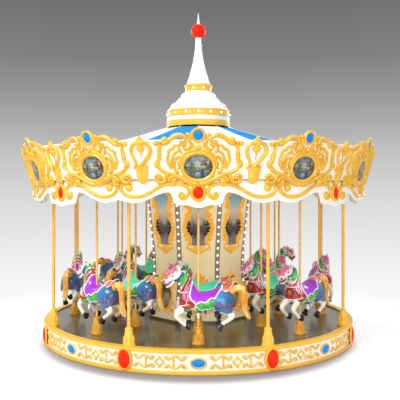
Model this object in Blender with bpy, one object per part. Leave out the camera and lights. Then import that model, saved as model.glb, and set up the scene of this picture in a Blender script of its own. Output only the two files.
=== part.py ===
"""A sixteen-horse fairground carousel, in metres, +Z up.

The origin is on the vertical axis at ground level. Azimuths are measured from the front (-Y) towards +X.
The turntable carries the deck, the posts, the centre drum and the canopy, and turns on a bearing base.
Each horse is fixed to its own pole, which slides up and down in a socket on the deck and a hole in the ceiling.
"""

import math

import bmesh
import bpy
from mathutils import Matrix, Vector

# Small distances
SEAT_GAP = 0.0003
GUIDE_GAP = 0.0005
BEARING_GAP = 0.0005

# Base on the ground
PLATE_RADIUS = 1.25
PLATE_HEIGHT = 0.05
HUB_RADIUS = 0.40
HUB_TOP = 0.19

# Platform
DECK_TOP = 0.335
DECK_THICKNESS = 0.05
DECK_RADIUS = 2.60
RING_OUTER = 2.83
RING_PANEL = 2.80
RING_INSIDE = 2.76
RING_TOP = 0.35
RING_BOTTOM = 0.012
UPPER_BAND_BOTTOM = 0.321
LOWER_BAND_TOP = 0.06
RING_SEGMENTS = 40

# Cone sockets of the horse poles, and the like feet of the posts
CONE_HEIGHT = 0.265
CONE_FOOT = 0.098
CONE_TOP = 0.053

# Posts and horse poles
POST_COUNT = 8
POST_CIRCLE = 2.68
POST_RADIUS = 0.024
POLE_RADIUS = 0.019
POLE_BOTTOM = 0.30
POLE_ABOVE_CEILING = 0.18
POLE_SIDES = 8

# Horses
HORSES_PER_ROW = 8
OUTER_ROW = 2.314
INNER_ROW = 1.513

# Canopy
CEILING_BOTTOM = 2.80
CEILING_THICKNESS = 0.03
VALANCE_OUTER = 2.97
VALANCE_THICKNESS = 0.03
VALANCE_TOP = 2.83
CORNICE_BOTTOM = 2.795
CORNICE_TOP = 3.343
CORNICE_FLARE = 0.281
CORNICE_FOOT_RADIUS = 3.0
CORNICE_THICKNESS = 0.024
CORNICE_LEDGE = 2.90
CORNICE_PANELS = 12
ROOF_APEX = 3.946
ROOF_SLOPE = 0.275
ROOF_THICKNESS = 0.03
ROOF_INNER = 0.45
ROOF_SEAT = 0.61
ROOF_OUTER = 3.0
MAST_RADIUS = 0.30
CUPOLA_RADIUS = 0.60

COLOURS = {
    "gold": ((0.95, 0.56, 0.06), 0.35, 0.25),
    "white": ((0.93, 0.92, 0.88), 0.45, 0.0),
    "deck_grey": ((0.20, 0.18, 0.16), 0.5, 0.1),
    "steel": ((0.25, 0.26, 0.28), 0.5, 0.8),
    "brass": ((0.80, 0.50, 0.15), 0.25, 1.0),
    "drum_cream": ((0.74, 0.63, 0.46), 0.5, 0.0),
    "red": ((0.85, 0.03, 0.01), 0.25, 0.0),
    "roof_blue": ((0.05, 0.33, 0.85), 0.5, 0.0),
    "horse_white": ((0.88, 0.84, 0.76), 0.35, 0.0),
}


def clear_scene():
    for thing in list(bpy.data.objects):
        bpy.data.objects.remove(thing)


def material(name):
    found = bpy.data.materials.get(name)
    if found:
        return found
    colour, roughness, metallic = COLOURS[name]
    made = bpy.data.materials.new(name)
    made.use_nodes = True
    shader = made.node_tree.nodes["Principled BSDF"]
    shader.inputs["Base Color"].default_value = (*colour, 1.0)
    shader.inputs["Roughness"].default_value = roughness
    shader.inputs["Metallic"].default_value = metallic
    return made


def mesh_from(bm, name):
    bmesh.ops.recalc_face_normals(bm, faces=bm.faces)
    mesh = bpy.data.meshes.new(name)
    bm.to_mesh(mesh)
    bm.free()
    mesh.shade_smooth()
    mesh.set_sharp_from_angle(angle=math.radians(35))
    return mesh


def place(mesh, name, material_name, parent=None, location=(0, 0, 0), turn=0.0):
    thing = bpy.data.objects.new(name, mesh)
    if not mesh.materials:
        mesh.materials.append(material(material_name))
    bpy.context.scene.collection.objects.link(thing)
    thing.location = location
    thing.rotation_euler.z = turn
    thing.parent = parent
    return thing


def helper(mesh, name, collection=None):
    """A cutter or a shape to be joined: it isn't a piece of the carousel."""
    thing = bpy.data.objects.new(name, mesh)
    (collection or bpy.context.scene.collection).objects.link(thing)
    thing.hide_render = True
    thing.display_type = "WIRE"
    return thing


def empty(name, parent=None):
    thing = bpy.data.objects.new(name, None)
    bpy.context.scene.collection.objects.link(thing)
    thing.parent = parent
    return thing


def skin(bm, rings, close_ends=True, close_loop=False):
    """Faces between rings of the same number of points. close_loop joins the last ring to the first."""
    made = [[bm.verts.new(p) for p in ring] for ring in rings]
    pairs = list(zip(made, made[1:]))
    if close_loop:
        pairs.append((made[-1], made[0]))
    for first, second in pairs:
        count = len(first)
        for i in range(count):
            j = (i + 1) % count
            bm.faces.new((first[i], first[j], second[j], second[i]))
    if close_ends and not close_loop:
        bm.faces.new(made[0])
        bm.faces.new(list(reversed(made[-1])))


def turned(profile, segments, phase=0.0):
    """A solid turned about Z from an open profile of (radius, height), capped flat at both ends."""
    bm = bmesh.new()
    rings = []
    for radius, height in profile:
        ring = []
        for i in range(segments):
            angle = phase + math.tau * i / segments
            ring.append((radius * math.cos(angle), radius * math.sin(angle), height))
        rings.append(ring)
    skin(bm, rings)
    return bm


def turned_ring(section, segments, phase=0.0):
    """A ring turned about Z from a closed section of (radius, height)."""
    bm = bmesh.new()
    rings = []
    for i in range(segments):
        angle = phase + math.tau * i / segments
        rings.append([(r * math.cos(angle), r * math.sin(angle), z) for r, z in section])
    skin(bm, rings, close_loop=True)
    return bm


def at_azimuth(radius, azimuth):
    """The plan position at this azimuth from the front, towards +X."""
    return radius * math.sin(azimuth), -radius * math.cos(azimuth)


def prism(radius, bottom, top, sides, phase=0.0):
    return turned([(radius, bottom), (radius, top)], sides, phase)


def horse_spots():
    """(row name, number, azimuth, radius) of each horse."""
    for row, radius in (("outer", OUTER_ROW), ("inner", INNER_ROW)):
        for i in range(HORSES_PER_ROW):
            yield row, i + 1, math.tau * i / HORSES_PER_ROW, radius


def pole_cutters(name, radius, bottom, top):
    """One helper mesh with a prism for every horse pole."""
    bm = bmesh.new()
    for _, _, azimuth, circle in horse_spots():
        x, y = at_azimuth(circle, azimuth)
        rings = []
        for height in (bottom, top):
            ring = []
            for i in range(POLE_SIDES):
                angle = math.tau * i / POLE_SIDES
                ring.append((x + radius * math.cos(angle), y + radius * math.sin(angle), height))
            rings.append(ring)
        skin(bm, rings)
    return helper(mesh_from(bm, name), name)


def boolean(thing, operation, other=None, collection=None):
    modifier = thing.modifiers.new(operation.title(), "BOOLEAN")
    modifier.operation = operation
    modifier.solver = "EXACT"
    if collection is not None:
        modifier.operand_type = "COLLECTION"
        modifier.collection = collection
    else:
        modifier.object = other


# Base on the ground


def build_base(root):
    plate = prism(PLATE_RADIUS, 0.0, PLATE_HEIGHT, 8, math.pi / 8)
    place(mesh_from(plate, "base_plate"), "base_plate", "steel", root)
    hub = prism(HUB_RADIUS, PLATE_HEIGHT + SEAT_GAP, HUB_TOP, 10)
    place(mesh_from(hub, "bearing_hub"), "bearing_hub", "steel", root)


# Platform


def cone_profile(bottom):
    """Outline of a flared foot: a flat rim, a long taper and a flat top."""
    return [
        (CONE_FOOT, bottom),
        (CONE_FOOT, bottom + 0.03),
        (CONE_TOP, bottom + CONE_HEIGHT),
    ]


def build_deck(turntable):
    """The floor disc with its bearing boss below and the sixteen pole sockets on top."""
    boss = 0.36
    disc = turned(
        [
            (boss, HUB_TOP + BEARING_GAP),
            (boss, DECK_TOP - DECK_THICKNESS),
            (DECK_RADIUS - SEAT_GAP, DECK_TOP - DECK_THICKNESS),
            (DECK_RADIUS - SEAT_GAP, DECK_TOP),
        ],
        RING_SEGMENTS,
    )
    deck = place(mesh_from(disc, "deck"), "deck", "deck_grey", turntable)
    sockets = bpy.data.collections.new("sockets")
    bpy.context.scene.collection.children.link(sockets)
    for row, number, azimuth, radius in horse_spots():
        x, y = at_azimuth(radius, azimuth)
        cone = turned([(CONE_FOOT, DECK_TOP - 0.01), *cone_profile(DECK_TOP)[1:]], 8, math.pi / 8)
        bmesh.ops.translate(cone, verts=cone.verts, vec=(x, y, 0))
        name = f"socket_{row}_{number}"
        helper(mesh_from(cone, name), name, sockets)
    boolean(deck, "UNION", collection=sockets)
    bores = pole_cutters("socket_bores", POLE_RADIUS + GUIDE_GAP, 0.1, DECK_TOP + CONE_HEIGHT + 0.1)
    boolean(deck, "DIFFERENCE", bores)


def build_platform_ring(turntable):
    """The skirt round the deck: two proud bands, a recessed panel, and an oval cartouche below each post."""
    section = [
        (DECK_RADIUS, RING_TOP),
        (DECK_RADIUS, DECK_TOP - DECK_THICKNESS),
        (RING_INSIDE, DECK_TOP - DECK_THICKNESS),
        (RING_INSIDE, RING_BOTTOM),
        (RING_OUTER, RING_BOTTOM),
        (RING_OUTER, LOWER_BAND_TOP),
        (RING_PANEL, LOWER_BAND_TOP + 0.01),
        (RING_PANEL, UPPER_BAND_BOTTOM - 0.01),
        (RING_OUTER, UPPER_BAND_BOTTOM),
        (RING_OUTER, RING_TOP),
    ]
    ring = place(
        mesh_from(turned_ring(section, RING_SEGMENTS), "platform_ring"), "platform_ring", "gold", turntable
    )
    cartouches = bpy.data.collections.new("cartouches")
    bpy.context.scene.collection.children.link(cartouches)
    for i in range(POST_COUNT):
        azimuth = math.tau * (i + 0.5) / POST_COUNT
        name = f"cartouche_{i + 1}"
        helper(mesh_from(cartouche(azimuth), name), name, cartouches)
    boolean(ring, "UNION", collection=cartouches)


def cartouche(azimuth):
    """A pointed oval plate standing on the skirt, its flat back inside it."""
    centre, half_height, half_width = 0.185, 0.170, 0.105
    bm = bmesh.new()
    rings = []
    for depth, share in ((RING_PANEL - 0.02, 1.0), (RING_OUTER + 0.018, 1.0), (RING_OUTER + 0.035, 0.72)):
        ring = []
        for i in range(10):
            angle = math.tau * i / 10
            across = share * half_width * math.sin(angle)
            height = centre + share * half_height * math.cos(angle)
            x, y = at_azimuth(depth, azimuth)
            side_x, side_y = math.cos(azimuth), math.sin(azimuth)
            ring.append((x + across * side_x, y + across * side_y, height))
        rings.append(ring)
    skin(bm, rings)
    return bm


def build_posts(turntable):
    foot = RING_TOP + SEAT_GAP
    profile = [*cone_profile(foot), (POST_RADIUS, foot + CONE_HEIGHT), (POST_RADIUS, CEILING_BOTTOM - SEAT_GAP)]
    mesh = mesh_from(turned(profile, 8), "post")
    for i in range(POST_COUNT):
        azimuth = math.tau * (i + 0.5) / POST_COUNT
        x, y = at_azimuth(POST_CIRCLE, azimuth)
        place(mesh, f"post_{i + 1}", "gold", turntable, (x, y, 0), azimuth)


# Centre drum

# Radius to the lamp strips at the corners, by height: a waist between a flared head and foot.
DRUM_PROFILE = [
    (DECK_TOP + SEAT_GAP, 0.985),
    (0.385, 0.985),
    (0.40, 0.945),
    (0.48, 0.922),
    (0.80, 0.885),
    (1.05, 0.860),
    (1.25, 0.849),
    (1.50, 0.862),
    (1.75, 0.890),
    (2.03, 0.918),
    (2.30, 0.950),
    (2.55, 0.985),
    (CEILING_BOTTOM - SEAT_GAP, 1.03),
]
DRUM_SIDES = 8
DRUM_STRIP_WIDTH = 0.09


def drum_ring(height, strip_radius):
    """Octagon with its corners cut back to a strip, so sixteen points."""
    half = DRUM_STRIP_WIDTH / 2
    spread = math.atan2(half, strip_radius)
    reach = math.hypot(half, strip_radius)
    ring = []
    for i in range(DRUM_SIDES):
        corner = math.tau * (i + 0.5) / DRUM_SIDES
        for side in (-1, 1):
            x, y = at_azimuth(reach, corner + side * spread)
            ring.append((x, y, height))
    return ring


def build_drum(turntable):
    bm = bmesh.new()
    skin(bm, [drum_ring(height, radius) for height, radius in DRUM_PROFILE])
    place(mesh_from(bm, "centre_drum"), "centre_drum", "drum_cream", turntable)


# Canopy

# Lower edge of one half of a valance bay: (degrees from the middle of the bay, height).
VALANCE_EDGE = [
    (0.0, 2.397),
    (2.2, 2.432),
    (4.3, 2.428),
    (6.2, 2.465),
    (7.3, 2.590),
    (8.7, 2.615),
    (10.7, 2.572),
    (13.0, 2.500),
    (17.5, 2.455),
    (20.5, 2.475),
]
VALANCE_CUSP = (22.5, 2.500)
VALANCE_BAYS = 8


def build_valance(turntable):
    """A round curtain board with a scalloped lower edge, hung inside the foot of the cornice."""
    half = [*VALANCE_EDGE, VALANCE_CUSP]
    bay = [(-degrees, height) for degrees, height in reversed(half[1:])] + VALANCE_EDGE
    inner = VALANCE_OUTER - VALANCE_THICKNESS
    bm = bmesh.new()
    rings = []
    for i in range(VALANCE_BAYS):
        for degrees, height in bay:
            azimuth = math.tau * i / VALANCE_BAYS + math.radians(degrees)
            ring = []
            for radius, level in (
                (inner, height),
                (VALANCE_OUTER, height),
                (VALANCE_OUTER, VALANCE_TOP),
                (inner, VALANCE_TOP),
            ):
                ring.append((*at_azimuth(radius, azimuth), level))
            rings.append(ring)
    skin(bm, rings, close_loop=True)
    place(mesh_from(bm, "valance"), "valance", "white", turntable)


# Half of one cornice cartouche: (metres from its middle, lowest height, highest height, how proud it stands).
CARTOUCHE_HALF = [
    (0.0, 2.700, 3.490, 0.050),
    (0.10, 2.710, 3.440, 0.050),
    (0.34, 2.720, 3.400, 0.045),
    (0.60, 2.770, 3.300, 0.040),
]
# The same for half of the lyre ornament between two cartouches.
LYRE_HALF = [
    (0.0, 2.740, 3.440, 0.050),
    (0.15, 2.840, 3.380, 0.040),
]
BARE_FASCIA = (CORNICE_BOTTOM - 0.003, CORNICE_TOP + 0.003, 0.003)


def fascia_radius(height):
    """Outer radius of the flared cornice board at this height."""
    return CORNICE_FOOT_RADIUS + CORNICE_FLARE * (height - CORNICE_BOTTOM)


def cornice_section(low, high, proud):
    """Closed section through the cornice, from the ledge that rests on the ceiling to its raised face."""
    inner = CORNICE_THICKNESS
    ledge = CEILING_BOTTOM + CEILING_THICKNESS + SEAT_GAP
    return [
        (CORNICE_LEDGE, ledge),
        (fascia_radius(CORNICE_BOTTOM) - inner, ledge),
        (fascia_radius(CORNICE_BOTTOM) - inner, CORNICE_BOTTOM),
        (fascia_radius(CORNICE_BOTTOM), CORNICE_BOTTOM),
        (fascia_radius(low) + 0.001, low),
        (fascia_radius(low) + proud, low),
        (fascia_radius(high) + proud, high),
        (fascia_radius(high) + 0.001, high),
        (fascia_radius(CORNICE_TOP), CORNICE_TOP),
        (fascia_radius(CORNICE_TOP) - inner, CORNICE_TOP),
    ]


def build_cornice(turntable):
    """The flared rounding board, with twelve raised cartouches that rise above it and hang below it."""
    middle = fascia_radius(3.07)
    pitch = math.tau / CORNICE_PANELS
    bay = []
    for centre, half in ((0.0, CARTOUCHE_HALF), (pitch * middle / 2, LYRE_HALF)):
        edge = half[-1][0] + 0.012
        bay += [(centre - edge, BARE_FASCIA)]
        bay += [(centre - across, section) for across, *section in reversed(half)]
        bay += [(centre + across, section) for across, *section in half[1:]]
        bay += [(centre + edge, BARE_FASCIA)]
    bm = bmesh.new()
    rings = []
    for i in range(CORNICE_PANELS):
        for across, section in bay:
            azimuth = pitch * i + across / middle
            rings.append([(*at_azimuth(radius, azimuth), level) for radius, level in cornice_section(*section)])
    skin(bm, rings, close_loop=True)
    place(mesh_from(bm, "cornice"), "cornice", "gold", turntable)


def build_ceiling(turntable):
    radius = VALANCE_OUTER - VALANCE_THICKNESS - SEAT_GAP
    disc = prism(radius - 0.006, CEILING_BOTTOM, CEILING_BOTTOM + CEILING_THICKNESS, 48)
    ceiling = place(mesh_from(disc, "ceiling"), "ceiling", "white", turntable)
    holes = pole_cutters("ceiling_holes", POLE_RADIUS + GUIDE_GAP, CEILING_BOTTOM - 0.1, CEILING_BOTTOM + 0.2)
    boolean(ceiling, "DIFFERENCE", holes)


def roof_height(radius):
    return ROOF_APEX - ROOF_SLOPE * radius


def build_roof(turntable):
    seat = roof_height(ROOF_SEAT)
    section = [
        (ROOF_INNER, seat),
        (ROOF_SEAT, seat),
        (ROOF_OUTER, roof_height(ROOF_OUTER)),
        (ROOF_OUTER, roof_height(ROOF_OUTER) - ROOF_THICKNESS),
        (ROOF_SEAT, seat - ROOF_THICKNESS),
        (ROOF_INNER, seat - ROOF_THICKNESS),
    ]
    place(mesh_from(turned_ring(section, 48), "roof"), "roof", "roof_blue", turntable)


def build_mast(turntable):
    """The centre mast, which stands on the ceiling over the drum and carries the roof on its head."""
    head = roof_height(ROOF_SEAT) - ROOF_THICKNESS - SEAT_GAP
    profile = [
        (MAST_RADIUS, CEILING_BOTTOM + CEILING_THICKNESS + SEAT_GAP),
        (MAST_RADIUS, head - 0.12),
        (ROOF_SEAT - 0.04, head - 0.03),
        (ROOF_SEAT - 0.04, head),
    ]
    place(mesh_from(turned(profile, 12), "mast"), "mast", "steel", turntable)


def build_cupola(turntable):
    """The stepped cap over the roof, its lamp collar, and the spire with its ball and point."""
    drum = [
        (0.60, roof_height(ROOF_SEAT) + SEAT_GAP),
        (0.60, 3.925),
        (0.59, 3.93),
        (0.59, 4.0),
        (CUPOLA_RADIUS, 4.005),
        (CUPOLA_RADIUS, 4.110),
    ]
    bell = [
        (0.585, 4.110 + SEAT_GAP),
        (0.52, 4.185),
        (0.50, 4.205),
        (0.425, 4.285),
        (0.345, 4.315),
        (0.335, 4.385),
        (0.305, 4.425),
        (0.265, 4.470),
        (0.24, 4.495),
    ]
    collar = [(0.250, 4.495 + SEAT_GAP), (0.252, 4.60), (0.265, 4.61), (0.265, 4.635), (0.235, 4.645)]
    spire = [
        (0.232, 4.645 + SEAT_GAP),
        (0.19, 4.76),
        (0.135, 4.93),
        (0.092, 5.15),
        (0.073, 5.33),
        (0.055, 5.510),
    ]
    ball_centre, ball_radius, ball_rows = 5.635, 0.138, 8
    ball_flat = math.acos((ball_centre - 5.510 - SEAT_GAP) / ball_radius)
    ball = []
    for i in range(ball_rows + 1):
        angle = ball_flat + (math.pi - 2 * ball_flat) * i / ball_rows
        ball.append((ball_radius * math.sin(angle), ball_centre - ball_radius * math.cos(angle)))
    point = [(0.036, ball[-1][1] + SEAT_GAP), (0.02, 5.87), (0.006, 5.985)]
    for name, profile, colour, segments in (
        ("cupola_drum", drum, "gold", 24),
        ("cupola_bell", bell, "white", 24),
        ("cupola_collar", collar, "gold", 20),
        ("spire", spire, "white", 16),
        ("finial_ball", ball, "red", 14),
        ("finial_point", point, "white", 10),
    ):
        place(mesh_from(turned(profile, segments), name), name, colour, turntable)


# Horses
# A horse is modelled facing +X, with its pole on the Z axis and heights measured from the ground.


def limb(stations, sides, lateral=0.0, flatten=1.0, swing=0.0):
    """A tube along (forward, height, half depth) stations. It runs upright, or swings sideways to its end."""
    bm = bmesh.new()
    rings = []
    for i, (forward, height, depth) in enumerate(stations):
        sway = swing * min(i / 2, 1.0)
        before = stations[max(i - 1, 0)]
        after = stations[min(i + 1, len(stations) - 1)]
        along = Vector((after[0] - before[0], 0, after[1] - before[1])).normalized()
        across = Vector((-along.z, 0, along.x))
        centre = Vector((forward, lateral + sway, height))
        ring = []
        for k in range(sides):
            angle = math.tau * (k + 0.5) / sides
            side = Vector((0, depth * flatten * math.sin(angle), 0))
            ring.append(centre + across * depth * math.cos(angle) + side)
        rings.append(ring)
    skin(bm, rings)
    return bm


def barrel():
    """The trunk: (forward, height, half height, half width) sections."""
    bm = bmesh.new()
    rings = []
    for forward, height, tall, wide in (
        (-0.515, 0.985, 0.085, 0.085),
        (-0.420, 0.985, 0.165, 0.155),
        (-0.060, 0.965, 0.165, 0.165),
        (0.160, 1.000, 0.175, 0.150),
        (0.285, 1.010, 0.095, 0.095),
    ):
        ring = []
        for k in range(8):
            angle = math.tau * (k + 0.5) / 8
            ring.append((forward, wide * math.sin(angle), height + tall * math.cos(angle)))
        rings.append(ring)
    skin(bm, rings)
    return bm


def saddle_block():
    """The saddle's side outline, from pommel to the raised cantle, as a slab across the back."""
    outline = [
        (0.120, 1.10),
        (0.100, 1.235),
        (0.070, 1.225),
        (0.0, 1.150),
        (-0.10, 1.125),
        (-0.22, 1.135),
        (-0.34, 1.175),
        (-0.50, 1.250),
        (-0.515, 1.225),
        (-0.450, 1.130),
        (-0.380, 1.080),
    ]
    half = 0.085
    bm = bmesh.new()
    skin(bm, [[(x, side, z) for x, z in outline] for side in (-half, half)])
    return bm


def ear(side):
    bm = bmesh.new()
    base = [
        (0.245, side * 0.030, 1.425),
        (0.285, side * 0.035, 1.420),
        (0.262, side * 0.062, 1.410),
    ]
    tip = [(x * 0.2 + 0.29 * 0.8, y * 0.2 + side * 0.05 * 0.8, 1.485) for x, y, _ in base]
    skin(bm, [base, tip])
    return bm


# The near side faces outwards.
SIDES = (("near", 1), ("far", -1))
LEG_OFFSET = 0.112
# The tail swings outwards, clear of the nose of the horse behind.
TAIL_SWING = 0.075


def horse_limbs():
    """(name, mesh data) of everything that joins the trunk."""
    yield "neck", limb(
        [(0.13, 1.02, 0.15), (0.165, 1.17, 0.118), (0.190, 1.30, 0.088), (0.220, 1.40, 0.058)],
        6,
        flatten=0.66,
    )
    yield "head", limb(
        [(0.215, 1.395, 0.062), (0.31, 1.375, 0.086), (0.42, 1.305, 0.062), (0.520, 1.245, 0.042)],
        6,
        flatten=0.66,
    )
    for name, side in SIDES:
        yield f"front_leg_{name}", limb(
            [(0.15, 0.96, 0.085), (0.325, 0.795, 0.046), (0.215, 0.668, 0.034), (0.125, 0.640, 0.050)],
            4,
            side * LEG_OFFSET,
        )
        yield f"hind_leg_{name}", limb(
            [(-0.37, 0.94, 0.110), (-0.505, 0.780, 0.048), (-0.375, 0.672, 0.036), (-0.312, 0.590, 0.050)],
            4,
            side * LEG_OFFSET,
            0.8,
        )
        yield f"ear_{name}", ear(side)
    yield "tail", limb(
        [
            (-0.46, 1.10, 0.038),
            (-0.555, 1.172, 0.050),
            (-0.645, 1.140, 0.052),
            (-0.690, 0.96, 0.048),
            (-0.770, 0.72, 0.024),
        ],
        5,
        flatten=0.8,
        swing=TAIL_SWING,
    )
    yield "saddle", saddle_block()


def horse_mesh():
    """Joins the limbs to the trunk and drills the pole's hole, once for all the horses."""
    limbs = bpy.data.collections.new("horse_limbs")
    bpy.context.scene.collection.children.link(limbs)
    made = []
    for name, bm in horse_limbs():
        made.append(helper(mesh_from(bm, name), name, limbs))
    trunk = helper(mesh_from(barrel(), "trunk"), "trunk")
    bore = helper(mesh_from(prism(POLE_RADIUS + 0.0004, 0.5, 1.6, POLE_SIDES), "horse_bore"), "horse_bore")
    boolean(trunk, "UNION", collection=limbs)
    boolean(trunk, "DIFFERENCE", bore)
    bpy.context.view_layer.update()
    graph = bpy.context.evaluated_depsgraph_get()
    mesh = bpy.data.meshes.new_from_object(trunk.evaluated_get(graph))
    mesh.name = "horse"
    mesh.materials.clear()
    for thing in (trunk, bore, *made):
        bpy.data.objects.remove(thing)
    bpy.data.collections.remove(limbs)
    return mesh


def build_horses(turntable):
    horse = horse_mesh()
    top = CEILING_BOTTOM + CEILING_THICKNESS + POLE_ABOVE_CEILING
    pole = mesh_from(prism(POLE_RADIUS, POLE_BOTTOM, top, POLE_SIDES), "pole")
    for row, number, azimuth, radius in horse_spots():
        lift = empty(f"lift_{row}_{number}", turntable)
        lift.location = (*at_azimuth(radius, azimuth), 0)
        lift.rotation_euler.z = azimuth + math.pi
        place(pole, f"pole_{row}_{number}", "brass", lift)
        place(horse, f"horse_{row}_{number}", "horse_white", lift)


def main():
    clear_scene()
    ground = empty("ground")
    turntable = empty("turntable")
    build_base(ground)
    build_deck(turntable)
    build_platform_ring(turntable)
    build_posts(turntable)
    build_drum(turntable)
    build_valance(turntable)
    build_cornice(turntable)
    build_ceiling(turntable)
    build_roof(turntable)
    build_mast(turntable)
    build_cupola(turntable)
    build_horses(turntable)


main()
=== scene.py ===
"""The finished look of the sixteen-horse carousel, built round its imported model, in metres, +Z up.

Azimuths are measured from the front (-Y) towards +X. The carving and the horses are drawn in millimetres.
Carving is drawn flat, as (across, up) points with a height above the panel, and is then wrapped onto the
board, cylinder or drum that carries it.
"""

import math

import bmesh
import bpy
from mathutils import Matrix, Vector
from mathutils.bvhtree import BVHTree


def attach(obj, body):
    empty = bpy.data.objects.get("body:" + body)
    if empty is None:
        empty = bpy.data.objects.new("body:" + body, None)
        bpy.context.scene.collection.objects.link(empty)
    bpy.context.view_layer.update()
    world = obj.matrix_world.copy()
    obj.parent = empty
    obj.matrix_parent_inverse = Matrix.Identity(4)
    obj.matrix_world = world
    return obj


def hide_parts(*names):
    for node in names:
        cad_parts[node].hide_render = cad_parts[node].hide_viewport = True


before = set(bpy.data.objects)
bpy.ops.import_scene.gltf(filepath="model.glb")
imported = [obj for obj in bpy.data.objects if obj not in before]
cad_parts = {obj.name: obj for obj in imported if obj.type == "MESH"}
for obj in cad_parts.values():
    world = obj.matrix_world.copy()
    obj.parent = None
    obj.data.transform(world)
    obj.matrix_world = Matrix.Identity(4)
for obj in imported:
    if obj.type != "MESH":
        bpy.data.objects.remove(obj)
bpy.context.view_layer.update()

# Places and sizes shared with the solids
BAYS = 8
PANELS = 12
DECK_TOP = 0.335
DECK_RADIUS = 2.60
RING_PANEL = 2.787
RING_OUTER = 2.814
RING_EDGE = 2.690
LIP_TOP = 0.360
RING_TOP = 0.35
SKIRT_FOOT = 0.005
POST_CIRCLE = 2.68
POST_RADIUS = 0.026
CONE_HEIGHT = 0.265
OUTER_ROW = 2.314
INNER_ROW = 1.513
POLE_RADIUS = 0.019
POLE_BOTTOM = 0.30
POLE_TOP = 3.01
CEILING_BOTTOM = 2.80
VALANCE_OUTER = 2.97
VALANCE_TOP = 2.83
FASCIA_BOTTOM = 2.795
FASCIA_TOP = 3.330
FASCIA_FLARE = 0.281
FASCIA_FOOT_RADIUS = 3.0
FASCIA_MIDDLE_RADIUS = 3.077
# The upper carving sits a little lower than drawn: from this height, over this run, by this much
DROP_FROM, DROP_RUN, FASCIA_DROP = 3.10, 0.25, 0.013
MEDALLION_LEVEL = 2.960
MEDALLION_SIZE = (203, 168)
ROOF_APEX = 3.946
ROOF_SLOPE = 0.275
ROOF_SEAT = 0.61
ROOF_RISE = 0.034
ROOF_HANG = 0.075
ROOF_OUTER = 3.0

TURNTABLE = "turntable"


# Colours and materials


def srgb(red, green, blue):
    """A linear colour from 0-255 display values."""

    def channel(value):
        value /= 255
        return value / 12.92 if value <= 0.04045 else ((value + 0.055) / 1.055) ** 2.4

    return (channel(red), channel(green), channel(blue), 1.0)


def shade(colour, factor):
    return tuple(min(1.0, c * factor) for c in colour[:3]) + (1.0,)


class Shader:
    """A material's node tree with short calls for the nodes used here."""

    def __init__(self, name):
        self.material = bpy.data.materials.new(name)
        self.material.use_nodes = True
        self.nodes = self.material.node_tree.nodes
        self.links = self.material.node_tree.links
        self.surface = self.nodes["Principled BSDF"]
        self.place = self.nodes.new("ShaderNodeTexCoord").outputs["Object"]

    def wire(self, node, inputs):
        """Sets a node's inputs, by name or number, to values or to other nodes' outputs."""
        for socket, value in inputs.items():
            if isinstance(value, bpy.types.NodeSocket):
                self.links.new(value, node.inputs[socket])
            else:
                node.inputs[socket].default_value = value
        return node

    def add(self, kind, inputs, output=0, **settings):
        """Adds a node and returns one of its outputs."""
        node = self.nodes.new(kind)
        for key, value in settings.items():
            setattr(node, key, value)
        return self.wire(node, inputs).outputs[output]

    def noise(self, scale, detail=4.0, roughness=0.55, distortion=0.0, stretch=None):
        """Clouds, or streaks where stretch gives a scale for each axis."""
        place = self.place
        if stretch:
            place = self.add("ShaderNodeMapping", {"Vector": place, "Scale": stretch})
        inputs = {"Vector": place, "Scale": scale, "Detail": detail, "Roughness": roughness}
        return self.add("ShaderNodeTexNoise", {**inputs, "Distortion": distortion}, "Fac")

    def wobble(self, scale, detail=4.0):
        """Clouds about zero."""
        return self.math("SUBTRACT", self.noise(scale, detail), 0.5)

    def ramp(self, factor, stops):
        color = self.add("ShaderNodeValToRGB", {"Fac": factor})
        elements = color.node.color_ramp.elements
        while len(elements) < len(stops):
            elements.new(0.5)
        for element, (position, colour) in zip(elements, stops):
            element.position = position
            element.color = colour
        return color

    def mix(self, factor, first, second, blend="MIX"):
        inputs = {0: factor, 6: first, 7: second}
        return self.add("ShaderNodeMix", inputs, 2, data_type="RGBA", blend_type=blend)

    def math(self, operation, *values, **settings):
        return self.add("ShaderNodeMath", dict(enumerate(values)), operation=operation, **settings)

    def plus(self, *values, **settings):
        return self.math("ADD", *values, **settings)

    def times(self, *values):
        return self.math("MULTIPLY", *values)

    def split(self):
        """The place's x, y and z."""
        return self.add("ShaderNodeSeparateXYZ", {"Vector": self.place}).node.outputs[:3]

    def run(self, value, low, high, **settings):
        """0 up to low, 1 from high on, and a straight run between them."""
        return self.add("ShaderNodeMapRange", {"Value": value, 1: low, 2: high}, **settings)

    def window(self, value, low, high, soft):
        """1 between low and high, falling to 0 over soft on each side."""
        return self.times(self.run(value, low - soft, low + soft), self.run(value, high + soft, high - soft))

    def bump(self, height, strength, distance=0.002):
        normal = self.add("ShaderNodeBump", {"Height": height, "Strength": strength, "Distance": distance})
        self.links.new(normal, self.surface.inputs["Normal"])

    def glow(self, colour, strength):
        """A little light of its own, for what the canopy's lamps light in the real ride."""
        if strength:
            self.wire(self.surface, {"Emission Color": colour, "Emission Strength": strength})

    def dull(self, level):
        self.surface.inputs["Specular IOR Level"].default_value = level

    def finish(self, colour, roughness=0.35, metallic=0.0, coat=0.0):
        inputs = {"Base Color": colour, "Roughness": roughness, "Metallic": metallic}
        self.wire(self.surface, {**inputs, "Coat Weight": coat, "Coat Roughness": 0.1})
        return self.material


def paint(name, colour, roughness, coat, metallic=0.0, spread=0.07, scale=9.0, glow=0.0):
    """Brushed gloss paint: slow drifts of tone, fine brush grain and a thin uneven coat; glow adds a painted
    glow.
    """
    s = Shader(name)
    drift = s.noise(scale, 3.0)
    tone = s.ramp(drift, [(0.3, shade(colour, 1 - spread)), (0.7, shade(colour, 1 + spread * 0.5))])
    wear = {"Value": s.noise(scale * 2.3), 3: roughness * 0.8, 4: roughness * 1.25}
    s.bump(s.noise(140.0, 2.0), 0.08)
    s.glow(tone, glow)
    return s.finish(tone, s.add("ShaderNodeMapRange", wear), metallic, coat)


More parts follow.
